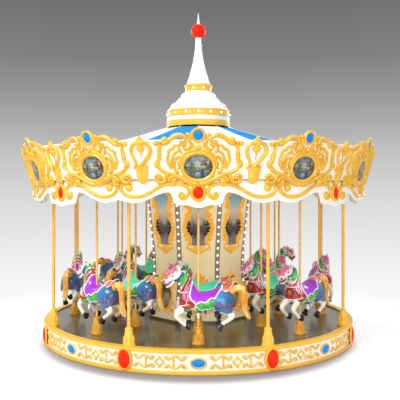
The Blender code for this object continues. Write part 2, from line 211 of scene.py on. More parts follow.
def shaded_paint(name, light, dark, roughness, coat, contrast, scale):
    """Airbrushed paint that runs from a light tone to a dark one in soft clouds."""
    s = Shader(name)
    clouds = s.noise(scale, distortion=0.4)
    tone = s.ramp(clouds, [(0.5 - contrast / 2, dark), (0.5 + contrast / 2, light)])
    s.bump(s.noise(120.0, 2.0), 0.06)
    return s.finish(tone, roughness, 0.0, coat)


def carved_gold(name, deep, bright, hollow_shade, glow=0.0):
    """Bright yellow-gold paint, darker in the hollows of the carving as painted shade, with a painted glow
    where glow is given.
    """
    s = Shader(name)
    drift = s.ramp(s.noise(6.0, 3.0), [(0.3, deep), (0.7, bright)])
    edge = s.add("ShaderNodeNewGeometry", {}, "Pointiness")
    # Painted shade: the hollows of the carving take the darker hollow tone.
    tone = s.mix(s.run(edge, 0.43, 0.50), hollow_shade, drift)
    s.bump(s.noise(90.0, 3.0), 0.12)
    s.glow(tone, glow)
    return s.finish(tone, 0.42, 0.05, 0.15)


def jewel(name, colour):
    """Moulded translucent plastic, clear and bright, with a little painted glow of its own."""
    s = Shader(name)
    tone = s.ramp(s.noise(14.0, 2.0), [(0.35, shade(colour, 0.85)), (0.7, colour)])
    s.glow(colour, 0.15)
    s.dull(0.15)
    s.bump(s.noise(60.0, 2.0), 0.05)
    return s.finish(tone)


def shaded_board():
    """The valance's white paint, with painted shade that greys it close under the cornice."""
    s = Shader("valance_white")
    height = s.plus(s.split()[2], s.times(s.wobble(6.0), 0.012))
    stops = [(0.0, srgb(255, 253, 244)), (0.45, srgb(246, 238, 220)), (1.0, srgb(176, 164, 138))]
    # Painted shade: grey close under the cornice, fading to white lower down.
    tone = s.ramp(s.run(height, 2.72, 2.80), stops)
    s.bump(s.noise(140.0, 2.0), 0.06)
    return s.finish(tone, 0.35, 0.0, 0.25)


def frosted_bulb():
    """A frosted round bulb, softly lit."""
    s = Shader("frosted_bulb")
    tone = s.ramp(s.noise(40.0, 2.0), [(0.3, srgb(250, 246, 232)), (0.7, srgb(255, 255, 250))])
    s.glow(srgb(255, 252, 240), 1.2)
    return s.finish(tone, 0.25)


def deck_boards():
    """Grey-brown sealed floor with a faint sheen, board joints and scuffs."""
    s = Shader("deck_boards")
    clouds = s.noise(1.7, 5.0, distortion=0.3)
    tone = s.ramp(clouds, [(0.3, srgb(82, 73, 48)), (0.5, srgb(104, 95, 66)), (0.72, srgb(122, 115, 86))])
    scuffs = s.ramp(s.noise(26.0, 6.0), [(0.42, (1, 1, 1, 1)), (0.60, (0.86, 0.86, 0.86, 1))])
    joint = s.math("ABSOLUTE", s.math("SUBTRACT", s.math("FRACT", s.times(s.split()[0], 2.5)), 0.5))
    s.bump(s.plus(s.times(s.run(joint, 0.0, 0.012), 2.0), s.noise(60.0)), 0.12)
    return s.finish(s.mix(0.7, tone, scuffs, "MULTIPLY"), 0.28, 0.0, 0.25)


def roof_cloth(name, colour):
    """Coated canvas with a fine weave and slow folds of tone."""
    s = Shader(name)
    tone = s.ramp(s.noise(2.0), [(0.3, shade(colour, 0.93)), (0.7, shade(colour, 1.03))])
    x, y, _ = s.split()
    weave = s.plus(s.math("SINE", s.times(x, 900.0)), s.math("SINE", s.times(y, 900.0)))
    s.bump(s.plus(s.times(weave, 0.2), s.noise(5.0)), 0.10)
    s.dull(0.1)
    return s.finish(tone, 0.75)


def polished_brass():
    s = Shader("polished_brass")
    tone = s.ramp(s.noise(16.0), [(0.3, srgb(222, 166, 76)), (0.7, srgb(242, 196, 104))])
    s.bump(s.noise(70.0, 3.0), 0.05)
    # The glow is painted light that keeps the brass bright.
    s.glow(tone, 0.08)
    return s.finish(tone, 0.36, 0.12, 0.25)


def medallion_painting():
    """A soft oval painting of no place in particular: dim clouds, a lit clearing, leaves and pale water, with
    a painted shadow of its frame round the rim.
    """
    s = Shader("medallion_painting")
    x, _, z = s.split()
    wobble = s.times(s.wobble(9.0, 5.0), 0.30)
    height = s.plus(z, wobble)
    cloud_stops = [[(0.35, srgb(58, 70, 72)), (0.5, srgb(128, 144, 148)), (0.66, srgb(206, 210, 204))],
        [(0.35, srgb(46, 36, 34)), (0.5, srgb(116, 96, 92)), (0.66, srgb(196, 184, 172))]]
    cool, warm = (s.ramp(s.noise(scale, 6.0), stops) for scale, stops in zip((15.0, 24.0), cloud_stops))
    clouds = s.mix(s.run(s.plus(x, wobble), 0.02, 0.09), cool, warm)
    leaf_stops = [(0.35, srgb(24, 30, 18)), (0.5, srgb(76, 88, 50)), (0.62, srgb(134, 140, 74))]
    leaves = s.ramp(s.noise(40.0, 6.0, 0.7), leaf_stops + [(0.75, srgb(216, 206, 146))])
    water = s.ramp(s.noise(14.0), [(0.4, srgb(50, 62, 78)), (0.65, srgb(140, 158, 186))])
    picture = s.mix(s.run(height, 2.850, 2.870), water, s.mix(s.run(height, 2.955, 2.985), leaves, clouds))
    clearing = s.times(s.window(s.plus(x, wobble), -0.06, 0.02, 0.05), s.window(height, 2.93, 3.05, 0.04))
    picture = s.mix(s.times(clearing, 0.6), picture, srgb(202, 204, 186))
    # A painted shadow of the frame darkens the painting towards its rim.
    level = s.times(s.math("SUBTRACT", z, MEDALLION_LEVEL), MEDALLION_SIZE[0] / MEDALLION_SIZE[1])
    reach = s.math("SQRT", s.plus(s.times(x, x), s.times(level, level)))
    picture = s.mix(s.times(s.run(reach, 0.150, 0.205), 0.8), picture, srgb(22, 24, 26))
    s.bump(s.noise(80.0), 0.1)
    return s.finish(picture, 0.35, 0.0, 0.2)


def drum_painting():
    """The tall framed painting of a drum panel: blue above, pale mist, then a dark band with soft streaks."""
    s = Shader("drum_painting")
    z = s.split()[2]
    streaks = s.math("SUBTRACT", s.noise(1.0, 5.0, stretch=(30.0, 30.0, 5.0)), 0.5)
    height = s.run(s.plus(z, s.times(streaks, 0.34)), 1.62, 2.62)
    stops = [(0.00, srgb(152, 156, 162)), (0.16, srgb(130, 124, 122)), (0.27, srgb(56, 42, 42)),
        (0.40, srgb(84, 64, 58)), (0.50, srgb(186, 164, 138)), (0.64, srgb(234, 224, 200)),
        (0.78, srgb(170, 208, 218)), (0.95, srgb(128, 180, 206))]
    s.bump(s.noise(60.0), 0.1)
    return s.finish(s.ramp(height, stops), 0.3, 0.0, 0.4)


def old_mirror():
    """The foot panels' mirrors: brownish silvering with dark foxing."""
    s = Shader("old_mirror")
    stops = [(0.35, srgb(78, 70, 46)), (0.5, srgb(150, 138, 104)), (0.7, srgb(196, 184, 150))]
    tone = s.ramp(s.noise(9.0, 5.0), stops)
    return s.finish(tone, 0.12, 0.6, 0.3)


def saddle_paint(name, bright, deep):
    """Airbrushed saddle cloth: bright on the flap and deeper towards the back of the seat."""
    s = Shader(name)
    x, _, z = s.split()
    drift = s.plus(s.times(x, 2.4), s.times(s.wobble(9.0), 0.4))
    drift = s.math("SUBTRACT", drift, s.times(s.math("SUBTRACT", z, 1.04), 2.0))
    tone = s.ramp(s.run(drift, -0.8, 0.05), [(0.0, deep), (1.0, bright)])
    s.bump(s.noise(150.0, 2.0), 0.06)
    return s.finish(tone, 0.28, 0.0, 0.4)


def blanket_paint():
    """Blue rump blanket with painted light, lighter on top and to the front, and rows of crimson squiggles.
    """
    s = Shader("blanket_blue")
    x, _, z = s.split()
    wobble = s.wobble(26.0, 3.0)
    # Painted light and shade: lighter towards the front and the top, where the light falls, darker to the
    # rear and low down.
    upper = s.mix(s.run(x, -0.52, -0.30), srgb(28, 84, 118), srgb(46, 142, 214))
    blue = s.mix(s.run(s.plus(z, s.times(wobble, 0.08)), 0.93, 1.08), srgb(28, 92, 146), upper)
    worm = s.math("SINE", s.plus(s.times(x, 60.0), s.times(wobble, 16.0)))
    height = s.plus(s.plus(z, s.times(worm, 0.012)), s.times(wobble, 0.06))
    blue = s.mix(s.window(height, 0.70, 0.885, 0.006), blue, srgb(38, 112, 150))
    low = s.window(height, 0.930, 0.958, 0.004)
    lower = s.times(s.window(height, 0.884, 0.898, 0.003), s.window(x, -0.60, -0.40, 0.02))
    high = s.times(s.window(height, 1.060, 1.076, 0.004), s.window(x, -0.50, -0.42, 0.01))
    lines = s.plus(s.plus(low, lower), high, use_clamp=True)
    s.bump(s.noise(120.0, 2.0), 0.06)
    return s.finish(s.mix(s.times(lines, 0.70), blue, srgb(168, 44, 96)), 0.28, 0.0, 0.4)


def streaked_paint(name, light, dark, stretch, contrast):
    """Carved hair: light and dark streaks that run down its length."""
    s = Shader(name)
    streaks = s.noise(1.6, distortion=0.5, stretch=stretch)
    stops = [(0.5 - contrast / 2, dark), (0.5, shade(light, 0.9)), (0.5 + contrast / 2, light)]
    tone = s.ramp(streaks, stops)
    s.bump(streaks, 0.25, 0.004)
    return s.finish(tone, 0.3, 0.0, 0.4)


def tail_paint():
    """Golden tail: a painted highlight on top, pale at the tip, orange where it hangs, with long streaks."""
    s = Shader("tail_gold")
    streaks = s.noise(1.3, 3.0, distortion=0.4, stretch=(22.0, 40.0, 3.0))
    height = s.run(s.split()[2], 0.68, 1.24)
    stops = [(0.0, srgb(250, 228, 164)), (0.3, srgb(252, 194, 66)), (0.55, srgb(246, 166, 38))]
    # The palest tone on top of the arch is a painted highlight.
    light = s.ramp(height, stops + [(0.8, srgb(252, 206, 90)), (1.0, srgb(255, 230, 140))])
    dark = s.ramp(height, [(0.0, srgb(236, 176, 70)), (0.5, srgb(216, 130, 16)), (1.0, srgb(240, 160, 40))])
    tone = s.mix(s.ramp(streaks, [(0.42, (0, 0, 0, 1)), (0.58, (1, 1, 1, 1))]), dark, light)
    s.bump(streaks, 0.25, 0.004)
    return s.finish(tone, 0.3, 0.0, 0.4)


def chest_paint():
    """Crimson enamel with darker hollows on the chest."""
    s = Shader("chest_crimson")
    streaks = s.noise(1.5, 3.0, distortion=1.2, stretch=(30.0, 30.0, 12.0))
    tone = s.ramp(streaks, [(0.40, srgb(112, 10, 18)), (0.52, srgb(172, 24, 34)), (0.62, srgb(206, 56, 64))])
    s.bump(streaks, 0.3, 0.004)
    return s.finish(tone, 0.3, 0.0, 0.4)


MATERIALS = {}


def finishes(maker, colours, rows):
    """Materials by the same maker, from rows of (slot, name, its colours, its other numbers)."""
    for slot, name, *rest in rows:
        MATERIALS[slot] = maker(name, *(srgb(*tone) for tone in rest[:colours]), *rest[colours:])


def make_materials():
    # Each gold's third colour is painted shade for its hollows, and the glow given to ochre_gold and
    # post_gold is painted light.
    finishes(carved_gold, 3, (
        ("gold", "carved_gold", (236, 178, 48), (247, 199, 68), (208, 142, 36)),
        ("gold_ochre", "ochre_gold", (250, 178, 48), (255, 202, 72), (222, 136, 26), 0.17),
        ("post_gold", "post_gold", (230, 168, 48), (242, 190, 66), (204, 134, 30), 0.20),
        ("socket_gold", "socket_gold", (218, 150, 36), (236, 176, 52), (184, 116, 24)),
        ("soft_gold", "soft_gold", (234, 180, 76), (248, 204, 108), (206, 146, 62)),
    ))
    finishes(paint, 1, (
        ("dark_leaf", "dark_leaf", (46, 36, 34), 0.3, 0.3),
        ("plain_gold", "plain_gold", (252, 190, 50), 0.38, 0.15, 0.0, 0.05),
        # The lip's top has its own copy of the gold, set for the light that falls on it: painted light.
        ("light_gold", "light_gold", (247, 192, 50), 0.5, 0.0, 0.0, 0.05),
        ("white", "gloss_white", (255, 253, 244), 0.3, 0.3, 0.0, 0.03),
        ("cream", "cream_panel", (255, 252, 236), 0.35, 0.25, 0.0, 0.03),
        # The drum paint's glow is painted light, for what the canopy's lamps would light.
        ("drum", "drum_panel", (255, 234, 188), 0.4, 0.2, 0.0, 0.05, 2.0, 0.15),
        ("strip", "lamp_strip", (156, 146, 134), 0.35, 0.2, 0.1, 0.1, 4.0),
        ("ice", "ice_white", (232, 248, 250), 0.3, 0.3, 0.0, 0.03),
        ("shadow_gap", "shadow_gap", (40, 36, 30), 0.6, 0.0),
        ("steel", "grey_steel", (96, 98, 102), 0.45, 0.1, 0.6, 0.1, 5.0),
        ("hoof", "hoof_black", (13, 12, 12), 0.3, 0.3),
        ("white_piping", "white_piping", (252, 249, 243), 0.3, 0.4, 0.0, 0.03),
        ("eye", "eye_black", (26, 24, 30), 0.15, 0.6),
        ("fringe_purple", "fringe_purple", (132, 72, 186), 0.3, 0.4, 0.0, 0.15, 30.0),
        ("mouth_red", "mouth_red", (150, 22, 24), 0.25, 0.5),
    ))
    finishes(shaded_paint, 2, (
        ("horse_white", "horse_white", (252, 248, 238), (232, 220, 200), 0.3, 0.35, 0.5, 3.0),
        ("under_cloth", "under_cloth_green", (66, 208, 60), (20, 132, 36), 0.28, 0.4, 0.3, 18.0),
        ("cantle", "cantle_coral", (250, 120, 84), (220, 62, 46), 0.28, 0.4, 0.3, 16.0),
        ("strap_blue", "strap_blue", (58, 92, 206), (30, 34, 150), 0.3, 0.4, 0.3, 16.0),
        ("old_gold", "old_gold", (214, 158, 72), (140, 84, 40), 0.35, 0.2, 0.4, 22.0),
        ("ear_pink", "ear_pink", (206, 130, 130), (140, 64, 70), 0.35, 0.2, 0.4, 20.0),
    ))
    finishes(jewel, 1, (
        ("red", "red_jewel", (250, 40, 6)),
        ("blue", "blue_jewel", (6, 140, 250)),
        ("red_ball", "red_ball", (250, 36, 8)),
    ))
    finishes(roof_cloth, 1, (
        ("roof_blue", "roof_blue_cloth", (30, 156, 236)),
        ("roof_white", "roof_white_cloth", (252, 252, 250)),
    ))
    hair = (20.0, 30.0, 8.0)
    finishes(streaked_paint, 2, (
        ("mane_green", "mane_green", (64, 204, 82), (20, 124, 46), hair, 0.3),
        ("mane_red", "mane_crimson", (186, 44, 52), (110, 12, 20), hair, 0.3),
        ("mane_pink", "plume_pink", (236, 140, 180), (178, 40, 100), (24.0, 34.0, 24.0), 0.22),
    ))
    finishes(saddle_paint, 2, (
        ("saddle_outer", "saddle_purple", (168, 48, 236), (170, 20, 188)),
        ("saddle_inner", "saddle_turquoise", (84, 250, 206), (48, 226, 184)),
    ))
    MATERIALS.update(bulb=frosted_bulb(), valance=shaded_board(), deck=deck_boards(), brass=polished_brass())
    MATERIALS.update(medallion=medallion_painting(), painting=drum_painting(), mirror=old_mirror())
    MATERIALS.update(blanket=blanket_paint(), tail_gold=tail_paint(), chest_red=chest_paint())


# Mesh helpers


def build(bm, name, slots, sharp=40.0):
    """A mesh with these materials in slot order, shaded smooth up to the sharp angle."""
    mesh = bpy.data.meshes.new(name)
    bm.to_mesh(mesh)
    bm.free()
    for slot_name in slots:
        mesh.materials.append(MATERIALS[slot_name])
    mesh.shade_smooth()
    mesh.set_sharp_from_angle(angle=math.radians(sharp))
    return mesh


def link(name, data):
    """An object with this data in the scene."""
    thing = bpy.data.objects.new(name, data)
    bpy.context.scene.collection.objects.link(thing)
    return thing


def put(mesh, name, slot, turn=0.0, location=(0, 0, 0), replaces=(), body=TURNTABLE):
    thing = link(name, mesh)
    thing.location = location
    thing.rotation_euler.z = turn
    bpy.context.view_layer.update()
    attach(thing, body)
    if replaces:
        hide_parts(*replaces)


def put_round(mesh, name, slot, count, start=0.0):
    """The same mesh in each bay or panel. start is the first turn, in shares of the pitch."""
    for i in range(count):
        put(mesh, f"{name}_{i + 1}", slot, math.tau * (i + start) / count)


def at_azimuth(radius, azimuth, height=0.0):
    return radius * math.sin(azimuth), -radius * math.cos(azimuth), height


def bridge(bm, rings, slots=0, closed=False, turned=False):
    """Quads between each ring of vertices and the next. slots is a number or a function of (pair, place)."""
    for pair, (low, high) in enumerate(zip(rings, rings[1:] + rings[:1] if closed else rings[1:])):
        for i in range(len(low)):
            j = (i + 1) % len(low)
            corners = (low[i], high[i], high[j], low[j]) if turned else (low[i], low[j], high[j], high[i])
            bm.faces.new(corners).material_index = slots(pair, i) if callable(slots) else slots


def cap(bm, rings, first=0, last=0):
    """Closes both ends of a row of rings."""
    bm.faces.new(rings[0][::-1]).material_index = first
    bm.faces.new(rings[-1]).material_index = last


def lathe(bm, profile, segments, closed=False, slots=None):
    """Turns a (radius, height) profile about Z, with a slot for each band. An open profile is capped."""
    slots = slots or [0] * len(profile)
    angles = [math.tau * i / segments for i in range(segments)]
    rings = [[bm.verts.new((r * math.cos(a), r * math.sin(a), z)) for a in angles] for r, z in profile]
    bridge(bm, rings, lambda band, _: slots[band], closed)
    if not closed:
        cap(bm, rings, slots[0], slots[-1])


def turned(name, profile, segments, finish, slot, node):
    """A piece of the cupola: a turned profile in place of one solid."""
    bm = bmesh.new()
    lathe(bm, profile, segments)
    put(build(bm, name, (finish,)), name, slot, replaces=(node,))


def catmull(a, b, c, d, t):
    """A value between b and c on the smooth curve through a, b, c and d."""
    square = (2 * a - 5 * b + 4 * c - d) * t * t
    return 0.5 * (2 * b + (c - a) * t + square + (3 * b - a - 3 * c + d) * t * t * t)


def curve_through(points, step, closed=False):
    """Points along a smooth curve. A whole step is the pieces in each span, any other step their length."""
    last = len(points) - 1
    smooth = []
    for i in range(last + 1 if closed else last):
        around = ((i + k) % (last + 1) if closed else min(max(i + k, 0), last) for k in (-1, 0, 1, 2))
        four = [points[n] for n in around]
        pieces = step if isinstance(step, int) else max(1, round(math.dist(four[1], four[2]) / step))
        smooth += [tuple(catmull(*values, k / pieces) for values in zip(*four)) for k in range(pieces)]
    return smooth if closed else smooth + [tuple(points[-1])]


# Cross-sections of carved work: (share of the half width, share of the depth) from one edge to the other
ROUND = [(-1.0, 0.0), (-0.8, 0.6), (0.0, 1.0), (0.8, 0.6), (1.0, 0.0)]
RIDGED = [(-1.0, 0.0), (-0.88, 0.72), (-0.55, 0.80), (-0.40, 0.62), (0.0, 1.0), (0.40, 0.62), (0.55, 0.80)]
RIDGED += [(0.88, 0.72), (1.0, 0.0)]
LEAF = [(-1.0, 0.0), (-0.6, 0.75), (-0.14, 0.95), (0.0, 0.62), (0.14, 0.95), (0.6, 0.75), (1.0, 0.0)]
FLAT = [(-1.0, 0.0), (-0.9, 1.0), (0.9, 1.0), (1.0, 0.0)]
# A little under the usual 16, so that each half of a leaf of 80 is cut into three pieces and not into two
LEAF_STEP = 15.999


class Relief:
    """Carved work, drawn flat in millimetres and wrapped onto its carrier.

    wrap turns metres (across, up, out) into a place. The drawing's heights start at level, and it is drawn
    about middle, to the side that side gives and up or down by rise.
    """

    def __init__(self, wrap, level=0.0):
        self.bm = bmesh.new()
        self.wrap = wrap
        self.level = level
        self.middle = 0.0
        self.side = self.rise = 1

    def sides(self):
        """Draws on the right and then, mirrored, on the left."""
        for self.side in (1, -1):
            yield self.side
        self.side = 1

    def placed(self, point):
        return self.middle + self.side * point[0] / 1000, self.level + self.rise * point[1] / 1000

    def vertex(self, across, up, out):
        return self.bm.verts.new(self.wrap(across, up, out))

    def stroke(self, points, width, depth, section=ROUND, slot=0, base=-4, widths=None, closed=False,
            step=16):
        """A raised band along a curve. widths are shares of the half width, spread evenly along it."""
        width, depth, base = width / 1000, depth / 1000, base / 1000
        path = curve_through([self.placed(point) for point in points], step / 1000, closed)
        lengths = [0.0]
        for first, second in zip(path, path[1:]):
            lengths.append(lengths[-1] + math.dist(first, second))
        total = lengths[-1]
        rows = []
        for i, (across, up) in enumerate(path):
            before = path[i - 1] if closed or i else path[0]
            after = path[(i + 1) % len(path)] if closed or i < len(path) - 1 else path[-1]
            tangent = (after[0] - before[0], after[1] - before[1])
            size = math.hypot(*tangent) or 1.0
            normal = (-tangent[1] / size, tangent[0] / size)
            share = 1.0
            if widths:
                part = lengths[i] / total * (len(widths) - 1)
                k = min(int(part), len(widths) - 2)
                share = widths[k] + (widths[k + 1] - widths[k]) * (part - k)
            if not closed:
                near = min(lengths[i], total - lengths[i]) / max(width * share, 1e-6)
                share *= math.sqrt(max(0.0, 1 - (1 - min(near, 1.0)) ** 2)) * 0.97 + 0.03
            half = width * share
            tall = depth * (0.35 + 0.65 * min(1.0, share * 1.2)) - base
            row = []
            for o, d in section:
                place = (across + normal[0] * half * o, up + normal[1] * half * o)
                row.append(self.vertex(*place, base + tall * d))
            rows.append(row)
        bridge(self.bm, rows, slot, closed, turned=True)
        if not closed:
            cap(self.bm, rows[::-1], slot, slot)

    def dome(self, centre, size, depth, slot=0, rings=4, segments=20, base=-2, power=2.0, outline=None):
        """A raised boss. outline gives a share of the size by angle; without it the boss is an ellipse."""
        across, up = self.placed(centre)
        wide, tall, depth, base = size[0] / 1000, size[1] / 1000, depth / 1000, base / 1000
        made = []
        for r in range(rings):
            share = math.cos(math.pi / 2 * r / rings)
            height = base + (depth - base) * (1 - share**power) ** (1 / power)
            ring = []
            for i in range(segments):
                angle = math.tau * i / segments
                reach = share * (outline(angle) if outline else 1.0)
                place = (across + wide * reach * math.cos(angle), up + tall * reach * math.sin(angle))
                ring.append(self.vertex(*place, height))
            made.append(ring)
        bridge(self.bm, made, slot)
        crown = self.vertex(across, up, depth)
        for first, second in zip(made[-1], made[-1][1:] + made[-1][:1]):
            self.bm.faces.new((first, second, crown)).material_index = slot
        self.bm.faces.new(made[0][::-1]).material_index = slot

    def loop(self, centre, size, width, depth, section=RIDGED, slot=0, count=28):
        """A raised oval frame."""
        angles = [math.tau * i / count for i in range(count)]
        points = [(centre[0] + size[0] * math.cos(a), centre[1] + size[1] * math.sin(a)) for a in angles]
        self.stroke(points, width, depth, section, slot, closed=True, step=30)

    def leaf(self, start, angle, length, width, depth, bend=0, slot=0):
        """A pointed leaf with a vein, from start in the direction of angle in degrees."""
        points = [start]
        for turn in (math.radians(angle), math.radians(angle + bend)):
            across, up = points[-1]
            points.append((across + 0.5 * length * math.cos(turn), up + 0.5 * length * math.sin(turn)))
        self.stroke(points, width, depth, LEAF, slot, widths=[0.45, 1.0, 0.8, 0.15], step=LEAF_STEP)

    def scroll(self, centre, radius, start, end, width, depth):
        """A spiral that winds in from its outer radius, from start to end in degrees, to a round eye."""
        points = []
        for i in range(13):
            angle = math.radians(start + (end - start) * i / 12)
            reach = radius - radius * 0.65 * i / 12
            points.append((centre[0] + reach * math.cos(angle), centre[1] + reach * math.sin(angle)))
        self.stroke(points, width, depth)
        self.dome(centre, (radius * 0.55, radius * 0.55), depth * 1.15, 0, 3, 12)


def wrap_round(radius):
    """Wraps a flat drawing onto an upright cylinder at the front."""
    return lambda across, up, out: at_azimuth(radius + out, across / radius, up)


def fascia_radius(height):
    return FASCIA_FOOT_RADIUS + FASCIA_FLARE * (height - FASCIA_BOTTOM)


def wrap_fascia(across, up, out):
    """Wraps a flat drawing onto the flared cornice board at the front."""
    up -= FASCIA_DROP * min(1.0, max(0.0, (up - DROP_FROM) / DROP_RUN))
    return at_azimuth(fascia_radius(up) + out, across / FASCIA_MIDDLE_RADIUS, up)


# Cornice


def cornice_panel():
    """One carved cartouche: a painted oval in a scrolled frame with a blue jewel on top."""
    r = Relief(wrap_fascia, MEDALLION_LEVEL)
    picture, blue = 1, 2
    r.dome((0, 0), MEDALLION_SIZE, 20, picture, 4, 32, 4)
    r.loop((0, 0), (228, 192), 32, 44, ROUND)
    for _ in r.sides():
        # The cap over the oval, two arches that meet in a cleft
        r.stroke([(4, 178), (50, 222), (130, 212), (200, 165), (245, 90), (262, 0)], 26, 42)
        # The heavy garland under the oval, and the side it runs up into
        r.stroke([(0, -236), (100, -222), (218, -165), (330, -112), (440, -85), (535, -35), (578, 35)], 44,
            50, ROUND, widths=[0.95, 1.0, 0.9, 0.75, 0.68, 0.65, 0.65])
        r.stroke([(586, 0), (588, 45), (560, 85), (548, 150), (538, 220), (530, 290), (500, 335)], 30, 44,
            ROUND, widths=[1.2, 1.5, 0.95, 1.2, 0.85, 0.9, 1.0])
        r.dome((588, 35), (42, 52), 48, 0, 3, 14)
        r.dome((548, 112), (34, 34), 46, 0, 3, 12)
        # The top rail from the corner in to its inner curl
        r.stroke([(500, 325), (440, 335), (385, 380), (310, 430), (235, 440), (178, 405), (168, 345)], 34, 46,
            ROUND, widths=[0.9, 1.0, 1.0, 1.05, 1.0, 0.85, 0.7])
        r.scroll((212, 338), 46, 170, 480, 24, 44)
        r.dome((455, 382), (46, 44), 50, 0, 3, 14)
        r.dome((583, 332), (38, 40), 48, 0, 3, 14)
        r.stroke([(500, 335), (545, 350), (583, 332)], 28, 42)
        # The two curls that hang below the garland
        r.stroke([(300, -125), (360, -132), (410, -165), (415, -215)], 31, 46)
        r.scroll((368, -200), 56, 350, 60, 29, 48)
        r.stroke([(420, -92), (455, -130), (485, -190), (530, -215), (580, -205), (612, -160)], 31, 46)
        r.scroll((566, -152), 54, -10, 250, 29, 48)
        # Beside the jewel, an upright scroll with a foot
        r.stroke([(150, 448), (118, 430), (118, 370), (100, 305), (130, 252), (175, 243), (200, 262)], 22, 38,
            widths=[1.2, 1.0, 1.2, 0.9, 1.0, 1.0, 1.2])
        r.dome((140, 452), (30, 28), 42, 0, 3, 12)
        r.stroke([(85, 340), (70, 295), (82, 258)], 19, 36)
        r.dome((196, 262), (24, 22), 38, 0, 3, 12)
        # The nested leaves between the oval and the side
        r.stroke([(245, 292), (318, 300), (345, 262), (405, 228), (412, 175), (432, 105), (415, 35),
            (375, -35)], 24, 36, widths=[0.9, 0.75, 1.0, 1.0, 0.9, 1.05, 0.95, 0.8])
        r.stroke([(268, 215), (320, 195), (352, 135), (372, 65), (362, -5)], 21, 34)
        r.stroke([(250, 150), (292, 128), (325, 75), (338, 10), (318, -55), (262, -78)], 22, 36)
        r.stroke([(262, 282), (262, 245), (246, 215), (236, 180)], 20, 34)
        r.leaf((285, 15), 110, 85, 20, 32, 25)
        r.leaf((300, -30), 150, 60, 18, 30, -20)
    r.dome((0, 268), (44, 44), 50, 0, 4, 18)
    jewel_at = (0, 438)
    r.loop(jewel_at, (82, 84), 23, 46, ROUND, 0, 24)
    r.dome(jewel_at, (64, 68), 44, blue, 5, 24, 6)
    return build(r.bm, "cornice_panel", ("gold", "medallion", "blue"))


def leaf_edge(angle):
    """The outline of the lyre's broad leaf: full at the sides and a little pointed at the foot."""
    full = (abs(math.cos(angle)) ** 2.6 + abs(math.sin(angle)) ** 2.6) ** (-1 / 2.6)
    return full * (1.0 - 0.10 * max(0.0, -math.sin(angle)) * abs(math.cos(angle)))


def lyre():
    """The lyre between two cartouches: a loop whose arms cross over a broad leaf, with a palmette on top."""
    r = Relief(wrap_fascia, MEDALLION_LEVEL)
    left = [(0, 352), (-64, 340), (-104, 310), (-130, 268), (-138, 209), (-124, 157)]
    left += [(-100, 112), (-84, 68), (-88, 30), (-112, 2)]
    r.stroke(left, 27, 42, widths=[1.0, 1.0, 1.0, 0.95, 0.85, 0.75])
    r.dome((-118, -8), (24, 22), 36, 0, 3, 12)
    right = [(0, 352), (70, 345), (114, 310), (140, 260), (141, 212), (118, 161)]
    right += [(77, 108), (30, 60), (-14, 16), (-50, -30)]
    r.stroke(right, 31, 48, widths=[1.0, 1.0, 1.0, 1.0, 1.0, 0.8])
    r.dome((-8, -95), (86, 140), 40, 0, 5, 32, -2, 3.0, leaf_edge)
    r.stroke([(40, 52), (6, -40), (-12, -130), (-18, -226)], 12, 50, widths=[0.6, 1.0, 0.5])
    for k in range(5):
        r.dome((74 - 4 * k, 10 - 44 * k), (24, 24), 36, 0, 3, 12)
    r.dome((0, 372), (62, 40), 50, 0, 4, 20)
    r.leaf((0, 350), 90, 92, 34, 52)
    r.dome((0, 345), (88, 44), 52, 0, 4, 20)
    r.dome((2, 305), (40, 30), 48, 0, 3, 14)
    r.dome((3, 266), (70, 28), 54, 0, 4, 20)
    r.dome((3, 236), (48, 40), 50, 0, 4, 18)
    for height, size in ((178, 10), (150, 9), (128, 7), (110, 6)):
        r.dome((2, height), (size, size * 1.2), 12, 1, 2, 8)
    return build(r.bm, "lyre", ("gold", "mouth_red"))


def fascia_board():
    """The flared white board, with a bead along its head and foot."""
    bm = bmesh.new()
    thick = 0.024
    low, high = FASCIA_BOTTOM, FASCIA_TOP
    bead = 0.008
    profile = [(2.905, VALANCE_TOP + 0.001), (fascia_radius(low) - thick, VALANCE_TOP + 0.001),
        (fascia_radius(low) - thick, low), (fascia_radius(low) + bead, low),
        (fascia_radius(low) + bead, low + 0.014), (fascia_radius(low + 0.022), low + 0.022),
        (fascia_radius(high - 0.030), high - 0.030), (fascia_radius(high) + bead, high - 0.020),
        (fascia_radius(high) + bead, high), (fascia_radius(high) - thick, high), (2.945, VALANCE_TOP + 0.045),
        (2.905, VALANCE_TOP + 0.010)]
    lathe(bm, profile, 144, closed=True)
    return build(bm, "fascia_board", ("cream",), 30)


def make_cornice():
    put(fascia_board(), "cornice_board", "gold_paint", replaces=("cornice",))
    put_round(cornice_panel(), "cornice_cartouche", "gold_paint", PANELS)
    put_round(lyre(), "lyre", "gold_paint", PANELS, 0.5)


# Valance

VALANCE_LIP = 0.006
# Lower edge of half a bay, (degrees from its middle, height)
VALANCE_EDGE = [(0.0, 2.392), (1.3, 2.402), (2.6, 2.424), (4.0, 2.432), (5.3, 2.430), (6.0, 2.436),
    (6.5, 2.465), (6.95, 2.540), (7.4, 2.592), (8.2, 2.611), (9.2, 2.606), (10.7, 2.582), (12.3, 2.545),
    (14.0, 2.505), (15.8, 2.472), (17.6, 2.458), (19.2, 2.462), (20.8, 2.478), (22.0, 2.495), (22.5, 2.502)]


def valance_board():
    """The scalloped curtain board, with a raised white lip along its lower edge."""
    bm = bmesh.new()
    bay = [(-d, z) for d, z in reversed(VALANCE_EDGE[1:])] + VALANCE_EDGE[:-1]
    inner, face = VALANCE_OUTER - 0.028, VALANCE_OUTER - VALANCE_LIP
    rings = []
    for i in range(BAYS):
        for degrees, height in bay:
            azimuth = math.tau * i / BAYS + math.radians(degrees)
            lip = height + 0.034
            section = [(inner, height), (VALANCE_OUTER - 0.004, height), (VALANCE_OUTER, height + 0.004)]
            section += [(VALANCE_OUTER, lip - 0.004), (face, lip), (face, VALANCE_TOP), (inner, VALANCE_TOP)]
            rings.append([bm.verts.new(at_azimuth(radius, azimuth, z)) for radius, z in section])
    bridge(bm, rings, closed=True, turned=True)
    return build(bm, "valance_board", ("valance",), 30)


